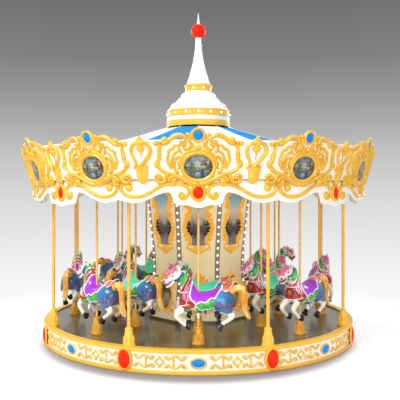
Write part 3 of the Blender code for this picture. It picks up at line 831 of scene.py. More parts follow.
def valance_bay():
    """The gold of one bay: the long band with a curl at each end, and a red jewel in its ring."""
    r = Relief(wrap_round(VALANCE_OUTER - VALANCE_LIP))
    jewel_at = (0, 2604)
    for _ in r.sides():
        # From the curl by the jewel, over the shoulder and down to the curl by the next bay
        spiral = [(205, 2596), (238, 2600), (264, 2580), (262, 2546), (232, 2522), (190, 2524), (154, 2552)]
        rise = [(138, 2600), (143, 2655), (180, 2700), (250, 2722), (330, 2730), (420, 2725), (500, 2705)]
        fall = [(590, 2663), (680, 2610), (780, 2567), (870, 2548), (950, 2547), (1030, 2562)]
        foot = [(1090, 2592), (1126, 2640), (1128, 2688), (1096, 2724), (1045, 2738), (990, 2728)]
        r.stroke(spiral + rise + fall + foot, 29, 40, widths=[0.85] * 3 + [1.0] * 8 + [0.95] * 3)
        r.dome((218, 2562), (43, 42), 46, 0, 4, 18)
        r.dome((1004, 2676), (60, 58), 46, 0, 4, 20)
    r.loop(jewel_at, (91, 110), 26, 44, ROUND, 0, 26)
    r.dome(jewel_at, (73, 90), 46, 1, 5, 26, 6)
    return build(r.bm, "valance_bay", ("gold", "red"))


def make_valance():
    put(valance_board(), "valance_board", "white_paint", replaces=("valance",))
    put_round(valance_bay(), "valance_scrolls", "gold_paint", BAYS)


# Platform

# The play round the poles in the deck
POLE_ROOM = 0.004
SKIRT_LEVEL = 0.183
PLATE_LEVEL = 0.188


def skirt():
    """The ring round the deck: yellow top and bands, and the recessed cream panel between them."""
    bm = bmesh.new()
    profile = [(DECK_RADIUS + 0.001, DECK_TOP - 0.045), (2.765, DECK_TOP - 0.045), (2.765, SKIRT_FOOT),
        (RING_OUTER - 0.006, SKIRT_FOOT), (RING_OUTER, SKIRT_FOOT + 0.006), (RING_OUTER, 0.044),
        (RING_OUTER - 0.006, 0.052), (RING_PANEL + 0.006, 0.054), (RING_PANEL, 0.060), (RING_PANEL, 0.304),
        (RING_PANEL + 0.006, 0.310), (RING_OUTER - 0.006, 0.312), (RING_OUTER, 0.318),
        (RING_OUTER, LIP_TOP - 0.008), (RING_OUTER - 0.010, LIP_TOP), (RING_EDGE, LIP_TOP),
        (RING_EDGE - 0.003, DECK_TOP), (DECK_RADIUS + 0.001, DECK_TOP)]
    slots = [0] * len(profile)
    slots[8] = 1
    # The lip's top takes its own copy of the gold, set for the light that falls on it: painted light.
    slots[14] = 2
    slots[15:] = [3] * (len(profile) - 15)
    lathe(bm, profile, 160, closed=True, slots=slots)
    return build(bm, "skirt", ("plain_gold", "cream", "light_gold", "deck"), 30)


def skirt_bay():
    """The scroll relief of one bay, with the blue oval in its middle."""
    r = Relief(wrap_round(RING_PANEL), SKIRT_LEVEL)
    wave = [(408, 90), (384, 68), (334, 31), (294, 50), (248, 81), (204, 83), (164, 62), (132, 36), (96, 46)]
    wave += [(84, 76), (106, 92)]
    for side in r.sides():
        r.middle = side * 0.561
        for r.rise in (1, -1):
            for hand in (1, -1):
                r.side = side * hand
                r.stroke(wave, 18, 20, widths=[0.8, 1.0, 1.15, 1.0, 1.1, 1.1, 1.0, 1.0, 0.8], step=20)
                r.dome((112, 64), (24, 24), 24, 0, 3, 10)
                r.dome((372, 86), (17, 17), 22, 0, 3, 10)
                for angle in (25, 80):
                    r.leaf((340, 42), angle, 52, 15, 20)
                r.stroke([(205, 84), (205, -30)], 17, 20, step=40)
                r.dome((205, 40), (22, 22), 24, 0, 3, 10)
                r.stroke([(0, 88), (24, 36), (78, 0)], 16, 20, step=20)
    r.middle, r.rise = 0.0, 1
    oval, blue = (0, -8), 1
    r.dome(oval, (128, 88), 10, 0, 3, 48, power=6.0, outline=lambda a: 1.0 + 0.035 * math.cos(24 * a))
    r.loop(oval, (106, 67), 13, 24, ROUND, 0, 24)
    r.dome(oval, (95, 56), 28, blue, 5, 28, 8)
    for k in range(24):
        angle = math.tau * k / 24
        r.dome((120 * math.cos(angle), 80 * math.sin(angle) - 8), (9, 9), 16, 0, 2, 6)
    return build(r.bm, "skirt_bay", ("soft_gold", "blue"))


def plate_edge(angle):
    """The outline of the plate below a post: pointed at the foot and scalloped at the sides."""
    point = max(0.0, -math.sin(angle)) ** 8
    return 1.0 + 0.10 * point + 0.025 * math.cos(10 * angle) * math.cos(angle) ** 2


def cartouche():
    """The pointed plate with the red oval below each post."""
    r = Relief(wrap_round(RING_OUTER), PLATE_LEVEL)
    red, gap = 1, 2
    # The dark stand-off under the plate's edge is painted shadow.
    r.dome((0, 0), (116, 158), -3, gap, 2, 40, -20, 8.0, plate_edge)
    r.dome((0, 0), (122, 164), 14, 0, 3, 60, -4, 8.0, plate_edge)
    r.loop((0, 0), (103, 149), 16, 27, ROUND, 0, 26)
    for _ in r.sides():
        for angle in range(-60, 61, 30):
            start = (96 * math.cos(math.radians(angle)), 138 * math.sin(math.radians(angle)))
            r.leaf(start, angle, 34, 13, 24)
    r.dome((0, 0), (92, 140), 50, red, 6, 32, 6)
    return build(r.bm, "cartouche", ("gold", "red", "shadow_gap"))


def socket_profile(bottom):
    """The flared foot of a post or horse pole: a beaded rim, a long taper and a collar."""
    top = bottom + CONE_HEIGHT
    foot = [(96, 0), (98, 4), (98, 22), (94, 30), (88, 34), (86, 42), (88, 48), (84, 56), (76, 95), (66, 160),
        (58, 215)]
    collar = [(54, -30), (58, -24), (58, -8), (53, -1)]
    return [(r / 1000, bottom + z / 1000) for r, z in foot] + [(r / 1000, top + z / 1000) for r, z in collar]


FOOT_RADIUS = 0.075


def carve_foot(bm, bottom):
    """Eight upright leaves round a flared foot."""

    def wrap(across, up, out):
        share = (up - bottom) / CONE_HEIGHT
        radius = 0.090 - 0.036 * min(1.0, max(0.0, share)) + out
        return at_azimuth(radius, across / FOOT_RADIUS, up)

    r = Relief(wrap, bottom)
    for i in range(8):
        r.middle = math.tau * FOOT_RADIUS * i / 8
        r.stroke([(0, 58), (0, 100), (0, 152)], 24, 10, LEAF, widths=[0.8, 1.0, 0.5], base=-3)
    merge(bm, r.bm)


def make_deck():
    """The floor disc, with a hole under every pole socket."""
    drills = bmesh.new()
    bore = POLE_RADIUS + POLE_ROOM
    for _, _, azimuth, radius in horse_spots():
        place = Matrix.Translation(at_azimuth(radius, azimuth, DECK_TOP))
        bmesh.ops.create_cone(drills, cap_ends=True, segments=24, radius1=bore, radius2=bore, depth=0.4,
            matrix=place)
    drill_mesh = bpy.data.meshes.new("drills")
    drills.to_mesh(drill_mesh)
    drills.free()
    drill = link("drills", drill_mesh)
    floor = bmesh.new()
    rim, under = DECK_RADIUS - 0.001, 0.287
    lathe(floor, [(0.36, 0.20), (0.36, under), (rim, under), (rim, DECK_TOP)], 128)
    cut = {"object": drill, "operation": "DIFFERENCE", "solver": "EXACT"}
    mesh = settle(floor, "deck_floor", [("BOOLEAN", cut)])
    bpy.data.objects.remove(drill)
    mesh.materials.append(MATERIALS["deck"])
    put(mesh, "deck_floor", "deck_grey", replaces=("deck",))


def make_platform():
    make_deck()
    put(skirt(), "skirt", "gold_paint", replaces=("platform_ring",))
    put_round(skirt_bay(), "skirt_scrolls", "gold_paint", BAYS)
    put_round(cartouche(), "skirt_cartouche", "gold_paint", BAYS, 0.5)


def make_posts():
    bottom = RING_TOP + 0.0005
    cone_top = bottom + CONE_HEIGHT
    profile = [(0.096, DECK_TOP + 0.0005)] + socket_profile(bottom)
    profile += [(0.040, cone_top + 0.004), (0.030, cone_top + 0.014), (POST_RADIUS, cone_top + 0.022)]
    profile += [(POST_RADIUS, CEILING_BOTTOM - 0.040), (0.034, CEILING_BOTTOM - 0.030)]
    profile += [(0.036, CEILING_BOTTOM - 0.001)]
    bm = bmesh.new()
    lathe(bm, profile, 28)
    carve_foot(bm, bottom)
    mesh = build(bm, "post", ("post_gold",), 35)
    for i in range(BAYS):
        azimuth = math.tau * (i + 0.5) / BAYS
        spot = at_azimuth(POST_CIRCLE, azimuth)
        put(mesh, f"tall_post_{i + 1}", "gold_paint", azimuth, spot, (f"post_{i + 1}",))


def horse_spots():
    for row, radius in (("outer", OUTER_ROW), ("inner", INNER_ROW)):
        for i in range(BAYS):
            yield row, i + 1, math.tau * i / BAYS, radius


def make_sockets():
    """The pole sockets, open at the top round the poles."""
    bm = bmesh.new()
    bore = POLE_RADIUS + POLE_ROOM
    inside = [(bore, DECK_TOP + CONE_HEIGHT - 0.001), (bore, DECK_TOP)]
    lathe(bm, socket_profile(DECK_TOP) + inside, 24, closed=True)
    carve_foot(bm, DECK_TOP)
    mesh = build(bm, "socket", ("socket_gold",), 35)
    for row, number, azimuth, radius in horse_spots():
        put(mesh, f"pole_socket_{row}_{number}", "gold_paint", azimuth, at_azimuth(radius, azimuth))


# Roof and cupola


def roof_height(radius):
    """The cloth hangs in a shallow curve that steepens towards the cupola."""
    inner = max(radius, ROOF_SEAT)
    share = (ROOF_OUTER - inner) / (ROOF_OUTER - ROOF_SEAT)
    return ROOF_APEX - ROOF_SLOPE * inner + ROOF_RISE * share**2 - ROOF_HANG * share * (1 - share)


def make_roof():
    """Twelve canvas gores, blue and white by turns, that sag a little between their seams."""
    bm = bmesh.new()
    across, along = 6, 10
    inner = ROOF_SEAT - 0.12
    rows = []
    for r in range(along + 1):
        radius = inner + (ROOF_OUTER - inner) * r / along
        row = []
        for i in range(PANELS * across):
            sag = 0.020 * math.sin(math.pi * (i % across) / across) * math.sin(math.pi * r / along)
            place = at_azimuth(radius, math.tau * i / (PANELS * across), roof_height(radius) - sag)
            row.append(bm.verts.new(place))
        rows.append(row)
    under = [[bm.verts.new((v.co.x, v.co.y, v.co.z - 0.03)) for v in row] for row in (rows[-1], rows[0])]
    bridge(bm, rows + under + rows[:1], lambda _, i: (i // across) % 2, turned=True)
    mesh = build(bm, "roof_gores", ("roof_white", "roof_blue"), 50)
    put(mesh, "roof_gores", "roof_blue", replaces=("roof",))
    seams = Relief(lambda along, up, out: (along, -up, roof_height(up) + out))
    seams.stroke([(0, ROOF_SEAT * 1000), (0, ROOF_OUTER * 1000 - 4)], 7, 4, step=120)
    put_round(build(seams.bm, "roof_seam", ("roof_white",)), "roof_seam", "roof_blue", PANELS)


def bulbs_round(bm, radius, height, count, size, slot, first=0.0):
    """Small round bulbs standing out of a ring."""
    for i in range(count):
        place = Matrix.Translation(at_azimuth(radius, math.tau * (i + first) / count, height))
        made = bmesh.ops.create_uvsphere(bm, u_segments=10, v_segments=7, radius=size, matrix=place)
        for face in {f for v in made["verts"] for f in v.link_faces}:
            face.material_index = slot


def rounded_steps(points):
    """A turned outline with each sharp step eased by two extra points."""
    eased = [points[0]]
    for before, here, after in zip(points, points[1:], points[2:]):
        for other in (before, after):
            share = min(0.006 / math.dist(here, other), 0.4)
            eased.append((here[0] + (other[0] - here[0]) * share, here[1] + (other[1] - here[1]) * share))
    return eased + [points[-1]]


def make_cupola():
    seat = roof_height(ROOF_SEAT) + 0.0005
    drum = [(0.574, seat), (0.576, seat + 0.012), (0.598, seat + 0.014), (0.598, 3.922), (0.592, 3.930)]
    drum += [(0.592, 3.934), (0.592, 4.000), (0.588, 4.004), (0.598, 4.009), (0.598, 4.022), (0.590, 4.027)]
    drum += [(0.590, 4.100), (0.598, 4.105), (0.598, 4.117), (0.590, 4.122)]
    slots = [0] * len(drum)
    gap, ice = 3, 1
    # The recessed foot ring under the drum is painted shadow.
    slots[0] = gap
    slots[4] = slots[5] = ice
    bm = bmesh.new()
    lathe(bm, drum, 96, slots=slots)
    bulbs_round(bm, 0.590, 4.064, 16, 0.019, 2)
    mesh = build(bm, "cupola_band", ("plain_gold", "ice", "bulb", "shadow_gap"), 35)
    put(mesh, "cupola_band", "gold_paint", replaces=("cupola_drum",))
    bell = [(0.584, 4.123), (0.588, 4.130), (0.560, 4.164), (0.530, 4.206), (0.508, 4.248), (0.494, 4.262)]
    bell += [(0.458, 4.268), (0.430, 4.294), (0.402, 4.332), (0.386, 4.354), (0.378, 4.362), (0.348, 4.366)]
    bell += [(0.338, 4.394), (0.326, 4.432), (0.316, 4.448), (0.290, 4.464), (0.266, 4.482), (0.248, 4.4955)]
    turned("cupola_dome", rounded_steps(bell), 96, "white", "white_paint", "cupola_bell")
    collar = [(0.240, 4.4965), (0.250, 4.502), (0.250, 4.514), (0.245, 4.519), (0.245, 4.568), (0.256, 4.575)]
    collar += [(0.265, 4.583), (0.265, 4.606), (0.252, 4.615), (0.236, 4.6195)]
    bm = bmesh.new()
    lathe(bm, collar, 72)
    bulbs_round(bm, 0.245, 4.545, 8, 0.018, 1, 0.5)
    mesh = build(bm, "lamp_collar", ("plain_gold", "bulb"), 35)
    put(mesh, "lamp_collar", "gold_paint", replaces=("cupola_collar",))
    turned("white_spire", spire_profile(), 56, "white", "white_paint", "spire")
    centre, radius = 5.635, 0.138
    angles = [math.radians(26 + 128 * i / 24) for i in range(25)]
    ball = [(radius * math.sin(a), centre - radius * math.cos(a)) for a in angles]
    turned("red_ball", ball, 48, "red_ball", "red_paint", "finial_ball")
    foot = ball[-1][1] + 0.001
    point = [(0.038, foot), (0.036, foot + 0.010), (0.024, foot + 0.045), (0.014, 5.88), (0.006, 5.96),
        (0.002, 5.984)]
    turned("white_point", point, 24, "white", "white_paint", "finial_point")


def spire_profile():
    """A concave spire: its radius falls fast at first, then slowly."""
    foot, head, steps = 4.621, 5.509, 22
    start = foot + 0.006
    shares = [i / steps for i in range(1, steps + 1)]
    taper = [(0.054 + 0.176 * (1 - t) ** 1.9, start + (head - start) * t) for t in shares]
    return [(0.229, foot), (0.232, start)] + taper


# Centre drum

DRUM_PROFILE = [(0.335, 0.950), (0.370, 0.950), (0.376, 0.932), (0.480, 0.922), (0.800, 0.885),
    (1.050, 0.860), (1.250, 0.849), (1.500, 0.862), (1.750, 0.890), (2.030, 0.918), (2.300, 0.950),
    (2.550, 0.985), (2.799, 1.030)]
STRIP_HALF = 0.045
STRIP_RISE = 0.006
BULBS = 18
BULB_PITCH = 124
FIRST_BULB = 517.5
# Half width of the tall painting by height
PAINTING_EDGE = [(1.680, 0.120), (1.780, 0.125), (1.860, 0.165), (1.960, 0.215), (2.060, 0.210),
    (2.150, 0.165), (2.240, 0.135), (2.340, 0.130), (2.420, 0.155), (2.500, 0.190), (2.570, 0.165),
    (2.610, 0.060)]


def between(pairs, value):
    """Reads a rising list of (key, number) pairs at a value."""
    for (low, first), (high, second) in zip(pairs, pairs[1:]):
        if value <= high:
            return first + (second - first) * max(0.0, (value - low) / (high - low))
    return pairs[-1][1]


def panel_distance(height):
    """From the axis to the flat of a drum panel at this height."""
    radius = between(DRUM_PROFILE, height)
    reach = math.hypot(STRIP_HALF, radius)
    return reach * math.cos(math.pi / 8 - math.atan2(STRIP_HALF, radius))


def wrap_panel(across, up, out):
    return (across, -panel_distance(up) - out, up)


def wrap_strip(across, up, out):
    """Onto the lamp strip to the right of the front panel."""
    turn = math.pi / BAYS
    x, y, _ = at_azimuth(between(DRUM_PROFILE, up) + STRIP_RISE + out, turn)
    return (x + across * math.cos(turn), y + across * math.sin(turn), up)


def drum_shell():
    bm = bmesh.new()
    outline = [(-STRIP_HALF, 0), (-STRIP_HALF, STRIP_RISE), (STRIP_HALF, STRIP_RISE), (STRIP_HALF, 0)]
    rings = []
    for height, radius in DRUM_PROFILE[:3] + curve_through(DRUM_PROFILE[3:], 4):
        ring = []
        for i in range(BAYS):
            corner = math.tau * (i + 0.5) / BAYS
            for across, rise in outline:
                x, y, z = at_azimuth(radius + rise, corner, height)
                ring.append(bm.verts.new((x + across * math.cos(corner), y + across * math.sin(corner), z)))
        rings.append(ring)
    panel, strip, plinth = 0, 1, 2
    bridge(bm, rings, lambda level, i: plinth if level < 2 else panel if i % 4 == 3 else strip)
    cap(bm, rings)
    mesh = build(bm, "drum_shell", ("drum", "strip", "deck"), 30)
    put(mesh, "drum_shell", "drum_cream", replaces=("centre_drum",))


def drum_painting_panel(r, slot):
    """The painting's own surface, from its foot to its arched top."""
    foot, head = PAINTING_EDGE[0][0], PAINTING_EDGE[-1][0]
    rows = []
    for i in range(25):
        height = foot + (head - foot) * i / 24
        half = between(PAINTING_EDGE, height)
        rows.append([r.vertex(half * k / 3, height, 0.003) for k in range(-3, 4)])
    for row, following in zip(rows, rows[1:]):
        for k in range(6):
            corners = (row[k], row[k + 1], following[k + 1], following[k])
            r.bm.faces.new(corners).material_index = slot


def corner_reach(corners):
    """For a boss with straight edges: its reach by angle, from corners as shares of the boss's size."""

    def outline(angle):
        dx, dy = math.cos(angle), math.sin(angle)
        for (ax, ay), (bx, by) in zip(corners, corners[1:] + corners[:1]):
            ex, ey = bx - ax, by - ay
            cross = dx * ey - dy * ex
            if abs(cross) < 1e-9:
                continue
            reach = (ax * ey - ay * ex) / cross
            share = (ax * dy - ay * dx) / cross
            if reach > 0 and -1e-6 <= share <= 1 + 1e-6:
                return reach
        return 1.0

    return outline


def tall_frame(r, dark):
    """The gold scrolls round the tall painting, one half at a time."""
    for _ in r.sides():
        rail = [(60, 2618), (150, 2600), (205, 2545), (207, 2480), (165, 2410), (142, 2340), (142, 2250),
            (165, 2170), (205, 2100), (232, 2030), (224, 1950), (190, 1880), (150, 1820), (134, 1750),
            (132, 1690)]
        widths = [0.8, 1.0, 1.0, 1.0, 0.9, 0.85, 0.9, 1.1, 1.1, 0.9, 1.1, 1.2, 1.1, 1.0, 0.9]
        r.stroke([(a + 10, z) for a, z in rail], 40, 26, RIDGED, widths=widths, step=22)
        # scrolls that curl away from the rail, from the top down
        for centre, radius, start, finish in (((232, 2360), 32, 215, -60), ((246, 2500), 24, 240, -40),
            ((215, 2205), 28, 200, -70), ((232, 1895), 26, 130, 400), ((215, 1800), 30, 120, 400)):
            r.scroll(centre, radius, start, finish, 17, 24)
        for start, angle, length, width, bend in (((180, 2400), 40, 85, 18, -40),
            ((165, 2330), 10, 75, 16, 50), ((165, 2230), 25, 65, 16, -30), ((215, 2130), 35, 60, 16, 40),
            ((200, 1860), -20, 70, 18, 40), ((155, 1800), -15, 75, 18, 30), ((150, 1720), -35, 70, 16, 40),
            ((90, 2625), 25, 75, 16, -50), ((170, 2590), 30, 65, 16, 60), ((224, 2440), -10, 45, 14, 60)):
            r.leaf(start, angle, length, width * 1.35, 24, bend)
        for start, angle, length, bend in (((130, 1985), 2, 110, 10), ((120, 2040), 28, 95, -20),
            ((130, 1950), -24, 90, 25), ((150, 2085), 62, 55, 20), ((90, 1905), -35, 80, 20)):
            r.leaf(start, angle, length, 20, 30, bend, dark)
        r.stroke([(10, 1532), (75, 1576), (195, 1640)], 20, 32, ROUND, widths=[0.6, 1.0, 0.7], step=30)
        r.scroll((186, 1652), 24, -60, 190, 13, 26)
    bracket = corner_reach([(1.0, 0.36), (0.42, 0.60), (0.0, 1.0), (-0.42, 0.60), (-1.0, 0.36), (0.0, -1.0)])
    r.dome((0, 1604), (212, 92), 22, 0, 3, 44, -2, 5.0, bracket)
    r.dome((0, 1625), (40, 40), 34, 0, 3, 16)
    r.leaf((0, 2600), 90, 75, 30, 32)


def foot_frame(r, mirror):
    """The dark mirror near the deck in its leaf frame."""
    r.dome((0, 790), (185, 255), 4, mirror, 3, 32)
    r.loop((0, 790), (190, 260), 24, 24, RIDGED)
    for _ in r.sides():
        for start, angle, length, width, bend in (((10, 1060), 74, 150, 36, 10),
            ((35, 1055), 50, 140, 34, 20), ((90, 1030), 28, 115, 32, 40), ((165, 930), 30, 85, 18, 50),
            ((190, 800), 60, 79.99, 16, 40), ((190, 720), -55, 80, 16, -40), ((140, 570), -30, 100, 20, -50),
            ((60, 530), -20, 120, 22, -30)):
            r.leaf(start, angle, length, width, 26, bend)
        r.scroll((215, 1005), 30, 200, -80, 13, 24)
        r.scroll((225, 560), 30, 120, 400, 13, 24)
    r.leaf((0, 1050), 90, 176, 44, 34)
    r.dome((0, 1075), (32, 36), 36, 0, 4, 16)
    r.dome((0, 530), (36, 32), 34, 0, 4, 16)


def make_drum():
    drum_shell()
    r = Relief(wrap_panel)
    painting, mirror, dark = 1, 2, 3
    drum_painting_panel(r, painting)
    tall_frame(r, dark)
    foot_frame(r, mirror)
    frames = build(r.bm, "drum_frames", ("gold_ochre", "painting", "mirror", "dark_leaf"), 50)
    lamps = Relief(wrap_strip)
    for k in range(BULBS):
        place = (0, FIRST_BULB + BULB_PITCH * k)
        lamps.dome(place, (28, 28), 7, 1, 2, 12)
        lamps.dome(place, (21, 21), 30, 0, 4, 12)
    lamp_mesh = build(lamps.bm, "drum_lamps", ("bulb", "strip"), 50)
    put_round(frames, "drum_frames", "drum_cream", BAYS)
    put_round(lamp_mesh, "drum_lamps", "drum_cream", BAYS)


# Horses
# A horse is drawn facing +X with its pole on the Z axis, and its near side (+Y) towards the platform's edge.

HORSE_SLOTS = ("horse_white", "hoof", "saddle_cloth", "under_cloth", "blanket", "cantle", "white_piping",
    "tail_gold", "mane_green", "mane_red", "mane_pink", "strap_blue", "eye", "chest_red", "fringe_purple",
    "mouth_red", "ear_pink", "old_gold")
SLOT = {name: i for i, name in enumerate(HORSE_SLOTS)}
HIP_OFFSET = 92
KNEE_OFFSET = 112
HOOF_OFFSET = 118
TAIL_SWING = {"outer": 28, "inner": 70}


def tube(bm, stations, sides, slot=0, flute=0.0, flutes=5, twist=0.0, steps=4):
    """A tube through (forward, sideways, height, half depth, half width) stations, smoothly eased."""
    eased = curve_through([[value / 1000 for value in station] for station in stations], steps)
    rings = []
    for i, (*place, depth, width) in enumerate(eased):
        before, after = eased[max(i - 1, 0)], eased[min(i + 1, len(eased) - 1)]
        along = Vector([b - a for a, b in zip(before[:3], after)]).normalized()
        side = Vector((0, 1, 0))
        side = (side - along * side.dot(along)).normalized()
        up = side.cross(along)
        ring = []
        for k in range(sides):
            angle = math.tau * k / sides
            ripple = 1 + flute * math.cos(flutes * (angle + twist * i / len(eased)))
            offset = up * depth * math.cos(angle) * ripple + side * width * math.sin(angle) * ripple
            ring.append(bm.verts.new(Vector(place) + offset))
        rings.append(ring)
    bridge(bm, rings, slot)
    cap(bm, rings, slot, slot)


TRUNK = [(-520, 0, 1000, 50, 50), (-492, 0, 1000, 104, 104), (-420, 0, 990, 155, 150),
    (-320, 0, 1000, 158, 160), (-220, 0, 990, 128, 158), (-80, 0, 942, 156, 162), (30, 0, 962, 140, 158),
    (130, 0, 985, 142, 150), (210, 0, 1010, 130, 132), (258, 0, 1025, 80, 95)]
NECK = [(125, 0, 1020, 145, 125), (160, 0, 1140, 116, 100), (180, 0, 1250, 97, 82), (205, 0, 1340, 78, 68),
    (228, 0, 1400, 58, 55), (245, 0, 1425, 35, 40)]
HEAD = [(215, 0, 1395, 34, 38), (255, 0, 1390, 50, 54), (312, 0, 1384, 74, 64), (370, 0, 1356, 72, 60),
    (435, 0, 1305, 52, 46), (490, 0, 1275, 42, 43), (528, 0, 1262, 32, 34)]
FRONT_LEG = [(120, HIP_OFFSET, 960, 92, 64), (200, HIP_OFFSET + 8, 885, 64, 52),
    (275, KNEE_OFFSET - 4, 838, 50, 44), (326, KNEE_OFFSET, 790, 44, 40), (305, KNEE_OFFSET + 2, 740, 36, 34),
    (245, HOOF_OFFSET - 2, 685, 31, 29), (200, HOOF_OFFSET, 648, 34, 31), (178, HOOF_OFFSET, 632, 32, 29)]
HIND_LEG = [(-350, HIP_OFFSET, 960, 145, 76), (-410, HIP_OFFSET + 8, 875, 94, 64),
    (-472, KNEE_OFFSET - 4, 815, 58, 48), (-506, KNEE_OFFSET, 778, 45, 41),
    (-475, KNEE_OFFSET + 2, 735, 36, 34), (-410, HOOF_OFFSET - 2, 693, 31, 29),
    (-365, HOOF_OFFSET, 667, 34, 31), (-345, HOOF_OFFSET, 650, 32, 30)]
# (from, to, radius at the leg, radius at the sole): each hoof continues its leg
HOOVES = [((186, HOOF_OFFSET, 636), (116, HOOF_OFFSET, 620), 36, 56),
    ((-352, HOOF_OFFSET, 656), (-296, HOOF_OFFSET, 588), 36, 57)]
VOXEL = 0.0125
# The line inside the trunk from which cloths are laid over the back
AXIS_HEIGHT = 0.98
BODY_SHARE = 0.34


def other_side(stations):
    return [(forward, -sideways, *rest) for forward, sideways, *rest in stations]


def settle(bm, name, modifiers):
    """The mesh that these modifiers make of this geometry."""
    mesh = bpy.data.meshes.new(name)
    bmesh.ops.recalc_face_normals(bm, faces=bm.faces)
    bm.to_mesh(mesh)
    bm.free()
    thing = link(name, mesh)
    for kind, settings in modifiers:
        modifier = thing.modifiers.new(kind.title(), kind)
        for key, value in settings.items():
            setattr(modifier, key, value)
    graph = bpy.context.evaluated_depsgraph_get()
    settled = bpy.data.meshes.new_from_object(thing.evaluated_get(graph))
    bpy.data.objects.remove(thing)
    bpy.data.meshes.remove(mesh)
    return settled


def bare_horse():
    """The horse's own body, blended into one skin from its limbs."""
    bm = bmesh.new()
    for stations in (TRUNK, NECK, HEAD):
        tube(bm, stations, 18)
    for leg in (FRONT_LEG, HIND_LEG):
        tube(bm, leg, 18)
        tube(bm, other_side(leg), 18)
    for side in (1, -1):
        tube(bm, [(120, side * 90, 1080, 50, 30), (150, side * 105, 1000, 75, 45),
            (180, side * 95, 910, 40, 30)], 12)
        tube(bm, [(285, side * 46, 1410, 20, 20), (315, side * 48, 1365, 50, 24),
            (350, side * 42, 1310, 20, 15)], 12)
    modifiers = (("REMESH", {"mode": "VOXEL", "voxel_size": VOXEL}),
        ("SMOOTH", {"factor": 0.6, "iterations": 5}), ("DECIMATE", {"ratio": BODY_SHARE}))
    return settle(bm, "bare_horse", modifiers)


class Skin:
    """Finds the horse's surface, so that carving and cloth can lie on it."""

    def __init__(self, mesh):
        bm = bmesh.new()
        bm.from_mesh(mesh)
        self.tree = BVHTree.FromBMesh(bm)
        bm.free()

    def inward(self, origin, out, reach, spare):
        """The surface point seen from outside towards an origin, and the way out."""
        hit = self.tree.ray_cast(origin + out * reach, -out)[0]
        return (hit if hit is not None else origin + out * spare), out

    def from_side(self, forward, height, side):
        """How far out the surface is at this point of the side view, or near the middle past the outline."""
        hit = self.tree.ray_cast(Vector((forward, side * 0.6, height)), Vector((0, -side, 0)))[0]
        return max(side * hit.y, 0.010) if hit is not None else 0.010

    def from_axis(self, forward, angle):
        """Towards a line along the horse, at this angle from up."""
        out = Vector((0, math.sin(angle), math.cos(angle)))
        return self.inward(Vector((forward, 0, AXIS_HEIGHT)), out, 0.45, 0.05)

    def from_post(self, height, angle, post=0.08):
        """Towards an upright line in the horse, at this angle from forward."""
        out = Vector((math.cos(angle), math.sin(angle), 0))
        return self.inward(Vector((post, 0, height)), out, 0.45, 0.1)

    def angle_at(self, forward, height):
        """The angle from up at which the side of the horse has this height."""
        low, high = math.radians(30), math.radians(165)
        for _ in range(12):
            middle = 0.5 * (low + high)
            if self.from_axis(forward, middle)[0].z > height:
                low = middle
            else:
                high = middle
        return 0.5 * (low + high)


def along_list(values, share):
    """A value part-way along an evenly spaced list, on a smooth curve through it."""
    last = len(values) - 1
    place = min(max(share, 0.0), 1.0) * last
    k = min(int(place), last - 1)
    return catmull(*(values[min(max(k + n, 0), last)] for n in (-1, 0, 1, 2)), place - k)


def cloth(bm, grid, lift, slot, piping, cord, thick=0.010):
    """A cloth over a grid of (surface point, way out), with a cord round its border."""
    rows, columns = len(grid) - 1, len(grid[0]) - 1
    for _ in range(2):
        grid = ease_grid(grid)
    tops, backs = ([[bm.verts.new(p + o * h) for p, o in row] for row in grid] for h in (lift, lift - thick))
    faces = []
    for i in range(rows):
        for j in range(columns):
            faces.append((tops[i][j], tops[i + 1][j], tops[i + 1][j + 1], tops[i][j + 1]))
            faces.append((backs[i][j], backs[i][j + 1], backs[i + 1][j + 1], backs[i + 1][j]))
    border = [(i, 0) for i in range(rows)] + [(rows, j) for j in range(columns)]
    border += [(rows - i, columns) for i in range(rows)] + [(0, columns - j) for j in range(columns)]
    for (i, j), (k, m) in zip(border, border[1:] + border[:1]):
        faces.append((tops[i][j], backs[i][j], backs[k][m], tops[k][m]))
    for corners in faces:
        bm.faces.new(corners).material_index = slot
    path = [grid[i][j][0] + grid[i][j][1] * (lift - thick * 0.3) for i, j in border]
    cord_round(bm, path, cord, piping)


def over_back(skin, front, rear, bottom, rows=14, columns=26):
    """Points over the back. front and rear give the edges by how far down the side they are, and bottom the
    height of the lower edge by how far back it is."""
    grid = []
    for i in range(rows + 1):
        t = i / rows
        reach = skin.angle_at(front[-1] * (1 - t) + rear[-1] * t, along_list(bottom, t))
        row = []
        for j in range(columns + 1):
            w = 2 * j / columns - 1
            forward = along_list(front, abs(w)) * (1 - t) + along_list(rear, abs(w)) * t
            row.append(skin.from_axis(forward, reach * w))
        grid.append(row)
    return grid


def ease_grid(grid):
    """Averages each inner point with its neighbours, so that a cloth bridges small hollows."""
    rows, columns = len(grid), len(grid[0])
    eased = [list(row) for row in grid]
    for i in range(1, rows - 1):
        for j in range(1, columns - 1):
            around = grid[i - 1][j][0] + grid[i + 1][j][0] + grid[i][j - 1][0] + grid[i][j + 1][0]
            eased[i][j] = (grid[i][j][0] * 0.5 + around * 0.125, grid[i][j][1])
    return eased


def cord_round(bm, path, radius, slot, closed=True):
    """A thin round cord of six sides along 3-D points."""
    rings = []
    count = len(path)
    for i, point in enumerate(path):
        before = path[i - 1] if closed or i else path[0]
        after = path[(i + 1) % count] if closed or i < count - 1 else path[-1]
        along = (after - before).normalized()
        side = along.orthogonal().normalized()
        if rings:
            side = (last_side - along * last_side.dot(along)).normalized()
        last_side = side
        up = along.cross(side)
        ring = []
        for k in range(6):
            angle = math.tau * k / 6
            ring.append(bm.verts.new(point + side * radius * math.cos(angle) + up * radius * math.sin(angle)))
        rings.append(ring)
    bridge(bm, rings, slot)
    if closed:
        first, last = rings[0], rings[-1]
        shift = min(range(6), key=lambda n: (last[n].co - first[0].co).length)
        bridge(bm, [last[shift:] + last[:shift], first], slot)
    else:
        cap(bm, rings, slot, slot)


